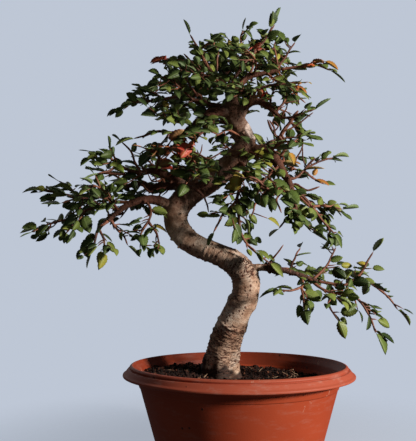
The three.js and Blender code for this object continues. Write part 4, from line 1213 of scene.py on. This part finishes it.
def corkiness(height, left, here):
    """How densely the trunk's bark is slit: most in the band above the soil, then on the left of the next
    bend and in the bend after it. Left is 1 on the trunk's left edge and -1 on its right."""
    patches = 0.5 + noise.noise(here * 40)
    foot, top = CORKY_BAND
    band = clamped((top - height) / 2) * clamped((height - foot) / 14) * (0.85 + 0.25 * patches)
    low_bend = bell(height, *CORKY_LOW_BEND) * clamped(0.75 + left) * (0.7 + 0.5 * patches)
    high_bend = bell(height, *CORKY_HIGH_BEND) * clamped(0.35 + patches)
    if height < SMOOTH_UP_TO:
        elsewhere = 0.05
    elif height > ROUGHER_FROM:
        elsewhere = 0.2 + 0.35 * patches
    else:
        elsewhere = 0.25 * patches
    return clamped(max(band, low_bend, high_bend, elsewhere))


def ring_scar(along, here):
    """Height of the raised rings that old buds leave round the trunk, as a share of the highest."""
    wander = noise.noise(here * 60) * 2.2
    return sum(bell(along / MM + wander, place, width) for place, width in RING_SCARS)


# Twigs and leaves.

def leaf_pattern(fold, droop, twist):
    """A thin closed toothed leaf, one unit long, growing along +Y with +Z out of its upper face."""
    form = bmesh.new()
    last = len(LEAF_EDGE) - 1
    bmesh.ops.create_uvsphere(form, u_segments=4, v_segments=last, radius=1)
    topside = form.verts.layers.float.new("topside")
    form.verts.layers.float.new("tone")
    form.verts.layers.float.new("turned")
    blade = form.loops.layers.uv.new("blade")
    spots = {}
    for vert in form.verts:
        x, y, z = vert.co
        turn = math.acos(max(-1, min(1, z)))
        along, half = LEAF_EDGE[round(turn / math.pi * last)]
        across = ((x > 0.05) - (x < -0.05)) * half
        top = (y > 0.05) - (y < -0.05)
        thick = top * LEAF_THICKNESS * (1.6 if along < 0.1 else 1)
        height = thick + fold * abs(across) - droop * along * along + twist * along * across
        vert[topside] = 0.5 + 0.5 * top
        spots[vert] = (across + 0.5, along)
        vert.co = (across, along, height)
    for face in form.faces:
        face.material_index = 1
        for loop in face.loops:
            loop[blade].uv = spots[loop.vert]
    return mesh_of("leaf_pattern", form)


def facing(forward, light=SKY):
    """The way that leaves face on a twig: towards the light and square to the twig."""
    return (light - forward * light.dot(forward)).normalized()


def leaf_place(way, share, rank, draw, light=SKY):
    """A leaf's root, direction, normal and length, on a twig's left or right, or straight on at its tip."""
    forward = way.tangent(share)
    sky = facing(forward, light)
    side = forward.cross(sky)
    spread = rank * between(draw, 0.75, 1.15) if rank else between(draw, -0.2, 0.2)
    direction = forward * math.cos(spread) + side * math.sin(spread)
    direction = (direction + sky * between(draw, -0.25, 0.35)).normalized()
    normal = Matrix.Rotation(between(draw, -0.7, 0.7), 3, direction) @ sky
    normal = (normal - direction * normal.dot(direction)).normalized()
    length = between(draw, *LEAF_LENGTH) * MM
    return way.point(share), direction, normal, length


def rank_of(leaf, last):
    """Leaves stand on the right and left in turn, with one at the tip."""
    return 0 if leaf == last else (1 if leaf % 2 else -1)


def stem_leaves(way, spray, stem, leaf_set):
    """The leaves that stand on a stem itself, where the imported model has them."""
    first = BARE_SHARE * way.length
    count = math.floor((way.length - first) / (LEAF_SPACING * MM) + 0.5)
    for leaf in range(count + 1):
        share = min(1, (first + (way.length - first) * leaf / max(1, count)) / way.length)
        yield leaf_place(way, share, rank_of(leaf, count), leaf_draws(spray, stem, leaf, leaf_set))


def shoots_on(way, picks, spray, stem):
    """The short shoots of a stem, evenly spaced, each by its own pick: its way, leaves and leaf nodes."""
    for place, pick in enumerate(picks):
        if not pick:
            continue
        draw = seeded(pick * SCATTER)
        draw()
        share = SHOOT_START + (1 - SHOOT_START) * (place + between(draw, 0.1, 0.9)) / len(picks)
        turn = between(draw, 0.4, 1.35) * (1 if draw() < 0.5 else -1)
        lift = between(draw, -0.7, 0.8)
        half = MM * between(draw, *SHOOT_LENGTH) / 2
        forward = way.tangent(share)
        sky = facing(forward)
        flat = forward * math.cos(turn) + forward.cross(sky) * math.sin(turn)
        heading = flat * math.cos(lift) + sky * math.sin(lift)
        bend = (heading + forward * 0.35).normalized()
        start = way.point(share)
        shoot = Way([start, start + heading * half, start + (heading + bend) * half])
        nodes = max(1, round(shoot.length / (SHOOT_LEAF_SPACING * MM)))
        yield shoot, list(shoot_leaves(shoot, nodes, leaf_draws(spray + 100, stem, pick))), nodes


def shoot_leaves(shoot, nodes, draw):
    """A shoot's small leaves in two ranks, with one at its tip."""
    for leaf in range(1, nodes + 1):
        light = SHOOT_LIGHT + Vector([between(draw, -0.6, 0.6) for _ in range(3)])
        place = leaf_place(shoot, leaf / nodes, rank_of(leaf, nodes), draw, light)
        yield *place[:3], place[3] * between(draw, *SHOOT_LEAF_SIZE)


def turned_at(name, place, draw):
    """How far a leaf has turned yellow or red, by its spray, its neighbours and chance."""
    root, direction, _, length = place
    middle = root + direction * length / 2
    amount = TURNED_SPRAYS.get(name, 0)
    if amount and draw() < 0.2:
        amount = 0
    if not amount and draw() < CHANCE_TURNED:
        amount = between(draw, *CHANCE_AMOUNT)
    for _, foot, tip, turned in TURNED_LEAVES:
        gap = middle - (Vector(foot) + Vector(tip)) * MM / 2
        if math.hypot(gap.x, gap.z) < TURNED_REACH and abs(gap.y) < TURNED_DEPTH:
            amount = min(turned, NEIGHBOUR_TURNED)
    return amount * between(draw, 0.9, 1.05)


def add_leaf(spray, place, turned, patterns, draw):
    root, direction, normal, length = place
    blade = patterns[int(draw() * len(patterns))].copy()
    across = direction.cross(normal)
    width = length * between(draw, 0.85, 1.15)
    turn = Matrix((across * width, direction * length, normal * length)).transposed()
    blade.transform(Matrix.Translation(root) @ turn.to_4x4())
    set_all(blade, "tone", clamped(0.42 + between(draw, -0.35, 0.35) + (0.2 if draw() < 0.15 else 0)))
    set_all(blade, "turned", turned)
    spray.from_mesh(blade)
    bpy.data.meshes.remove(blade)


def twig_line(way, thick, thin, nodes, draw):
    """Centres and radii of a twig that bends and swells slightly at each of its leaf nodes."""
    steps = max(3, round(way.length / TWIG_STEP))
    line = []
    for step in range(steps + 1):
        share = step / steps
        beat = math.cos(math.pi * nodes * share)
        side = way.tangent(share).cross(Vector((0.3, -0.5, 1))).normalized()
        centre = way.point(share) + side * beat * TWIG_ZIGZAG * min(1, 4 * share)
        swell = 1 + 0.18 * beat * beat + between(draw, -0.05, 0.05)
        line.append((centre, blend(thick, thin, share) * swell * MM))
    line[-1] = (line[-1][0], thin * 0.5 * MM)
    return line


def leafy(name, lines, leaves, patterns, draw, *finishes):
    """One piece of twigs and leaves. A leaf is its place and how far it has turned."""
    spray = welded_tubes(lines, 6)
    for layer in ("topside", "tone", "turned"):
        spray.verts.layers.float.new(layer)
    spray.loops.layers.uv.new("blade")
    for place, turned in leaves:
        add_leaf(spray, place, turned, patterns, draw)
    return finished(name, spray, *finishes)


def leafy_spray(number, name, stems, patterns, *finishes):
    """One spray: its stems, short shoots and leaves."""
    draw = seeded(500 + number * 7)
    lines = []
    leaves = []
    for stem, (thick, leaf_set, route, picks) in enumerate(stems):
        way = Way(in_metres(route))
        own = list(stem_leaves(way, number, stem, leaf_set))
        leaves += own
        lines.append(twig_line(way, thick, STEM_TIP, 2 * len(own) - 2, draw))
        for shoot, more, nodes in shoots_on(way, picks, number, stem):
            leaves += more
            lines.append(twig_line(shoot, *SHOOT_GIRTH, nodes, draw))
    leaves = [(place, turned_at(name, place, draw)) for place in leaves]
    piece = leafy(name + "_spray", lines, leaves, patterns, draw, *finishes)
    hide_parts(name)
    return piece


def bough_shoots(patterns, *finishes):
    """Short leafy shoots that stand on the thick boughs themselves."""
    draw = seeded(499)
    lines = []
    leaves = []
    for number, (_, _, route, picks) in enumerate(BOUGHS.values(), len(SPRAYS)):
        for shoot, more, nodes in shoots_on(Way(in_metres(route)), picks, number, 0):
            leaves += [(place, turned_at("", place, draw)) for place in more]
            lines.append(twig_line(shoot, *SHOOT_GIRTH, nodes, draw))
    return leafy("bough_shoots", lines, leaves, patterns, draw, *finishes)


def turned_leaves(patterns, *finishes):
    """The single turned leaves, on stalks of their own."""
    draw = seeded(498)
    lines = []
    leaves = []
    for fork, foot, tip, turned in TURNED_LEAVES:
        fork, foot, tip = in_metres([fork, foot, tip])
        if (foot - fork).length > 0.8 * MM:
            lines.append([(fork, 0.5 * MM), ((fork + foot) / 2, 0.45 * MM), (foot, 0.3 * MM)])
        heading = (tip - foot).normalized()
        leaves.append(((foot, heading, facing(heading, SHOOT_LIGHT), (tip - foot).length), turned))
    return leafy("turned_leaves", lines, leaves, patterns, draw, *finishes)


def bare_twigs(bark):
    draw = seeded(77)
    lines = []
    for thick, thin, route in BARE_TWIGS:
        way = Way(in_metres(route))
        lines.append(twig_line(way, thick, thin, round(way.length / BARE_TWIG_NODES), draw))
    finished("bare_twigs", welded_tubes(lines, 8), bark)


def foliage():
    bark = twig_bark()
    patterns = [leaf_pattern(*bend) for bend in LEAF_BENDS]
    leaf = {slot: elm_leaf("elm_" + slot) for slot in ("leaf_green", "leaf_yellow", "leaf_red")}
    slots = {"up_left_red": "leaf_red", "front_yellow": "leaf_yellow"}
    for number, (name, stems) in enumerate(SPRAYS.items()):
        slot = slots.get(name, "leaf_green")
        leafy_spray(number, name, stems, patterns, bark, leaf[slot])
    bough_shoots(patterns, bark, leaf["leaf_green"])
    turned_leaves(patterns, bark, leaf["leaf_red"])
    bare_twigs(bark)


# Stage.

def camera():
    data = bpy.data.cameras.new("camera")
    data.sensor_width = SENSOR
    data.lens = FOCAL_PIXELS / PHOTO_HEIGHT * SENSOR
    made = placed("camera", data)
    made.location = CAMERA_PLACE
    made.rotation_euler = (math.radians(90 + CAMERA_PITCH_UP), 0, 0)
    bpy.context.scene.camera = made


def bare_tree(owner):
    """The emptied node tree of a new material or world."""
    owner.use_nodes = True
    owner.node_tree.nodes.clear()
    return owner.node_tree


def layered(tree, share, first, second):
    """A mix of two shader nodes."""
    made = node(tree, "MixShader", Fac=share)
    tree.links.new(first.outputs[0], made.inputs[1])
    tree.links.new(second.outputs[0], made.inputs[2])
    return made


def floor():
    """A plain pale floor that fades into the background away from the bowl."""
    shape = bmesh.new()
    bmesh.ops.create_circle(shape, cap_ends=True, segments=96, radius=FLOOR_RADIUS)
    made = bpy.data.materials.new("pale_floor")
    tree = bare_tree(made)
    place = Value(node(tree, "TexCoord").outputs["Object"])
    fade = place.node("VectorMath", "Value", {"operation": "LENGTH"}, Vector=place).step(*FLOOR_FADE)
    glow = node(tree, "Emission", Color=BACKDROP)
    paint = layered(tree, 0.3, glow, node(tree, "BsdfDiffuse", Color=rgb(0.62, 0.66, 0.74)))
    cover = layered(tree, fade, paint, node(tree, "BsdfTransparent"))
    tree.links.new(cover.outputs[0], node(tree, "OutputMaterial").inputs["Surface"])
    mesh = mesh_of("floor", shape)
    mesh.materials.append(made)
    piece = placed("floor", mesh)
    piece.location.z = -0.3 * MM
    piece.visible_diffuse = False
    piece.visible_glossy = False


def surroundings():
    """The background that the camera sees is pale. What it sheds on the tree is weaker."""
    world = bpy.data.worlds.new("studio")
    tree = bare_tree(world)
    shed = node(tree, "Background", Color=rgb(0.9, 0.94, 1), Strength=0.05)
    seen = node(tree, "Background", Color=BACKDROP, Strength=1)
    either = layered(tree, Value(node(tree, "LightPath").outputs["Is Camera Ray"]), shed, seen)
    tree.links.new(either.outputs[0], node(tree, "OutputWorld").inputs["Surface"])
    bpy.context.scene.world = world


def softbox(name, azimuth, elevation, distance, size, power, colour):
    """A square soft light that looks at the middle of the tree."""
    turn = math.radians(azimuth)
    rise = math.radians(elevation)
    way = Vector((math.sin(turn) * math.cos(rise), -math.cos(turn) * math.cos(rise), math.sin(rise)))
    data = bpy.data.lights.new(name, "AREA")
    data.size = size
    data.energy = power
    data.color = colour
    made = placed(name, data)
    made.location = LIGHTS_LOOK_AT + way * distance
    made.rotation_euler = way.to_track_quat("Z", "Y").to_euler()


camera()
bowl()
potting_mix()
straws()
wood()
foliage()
floor()
surroundings()
for name, light in LIGHTS.items():
    softbox(name, *light)
bpy.context.scene.view_settings.view_transform = "Standard"
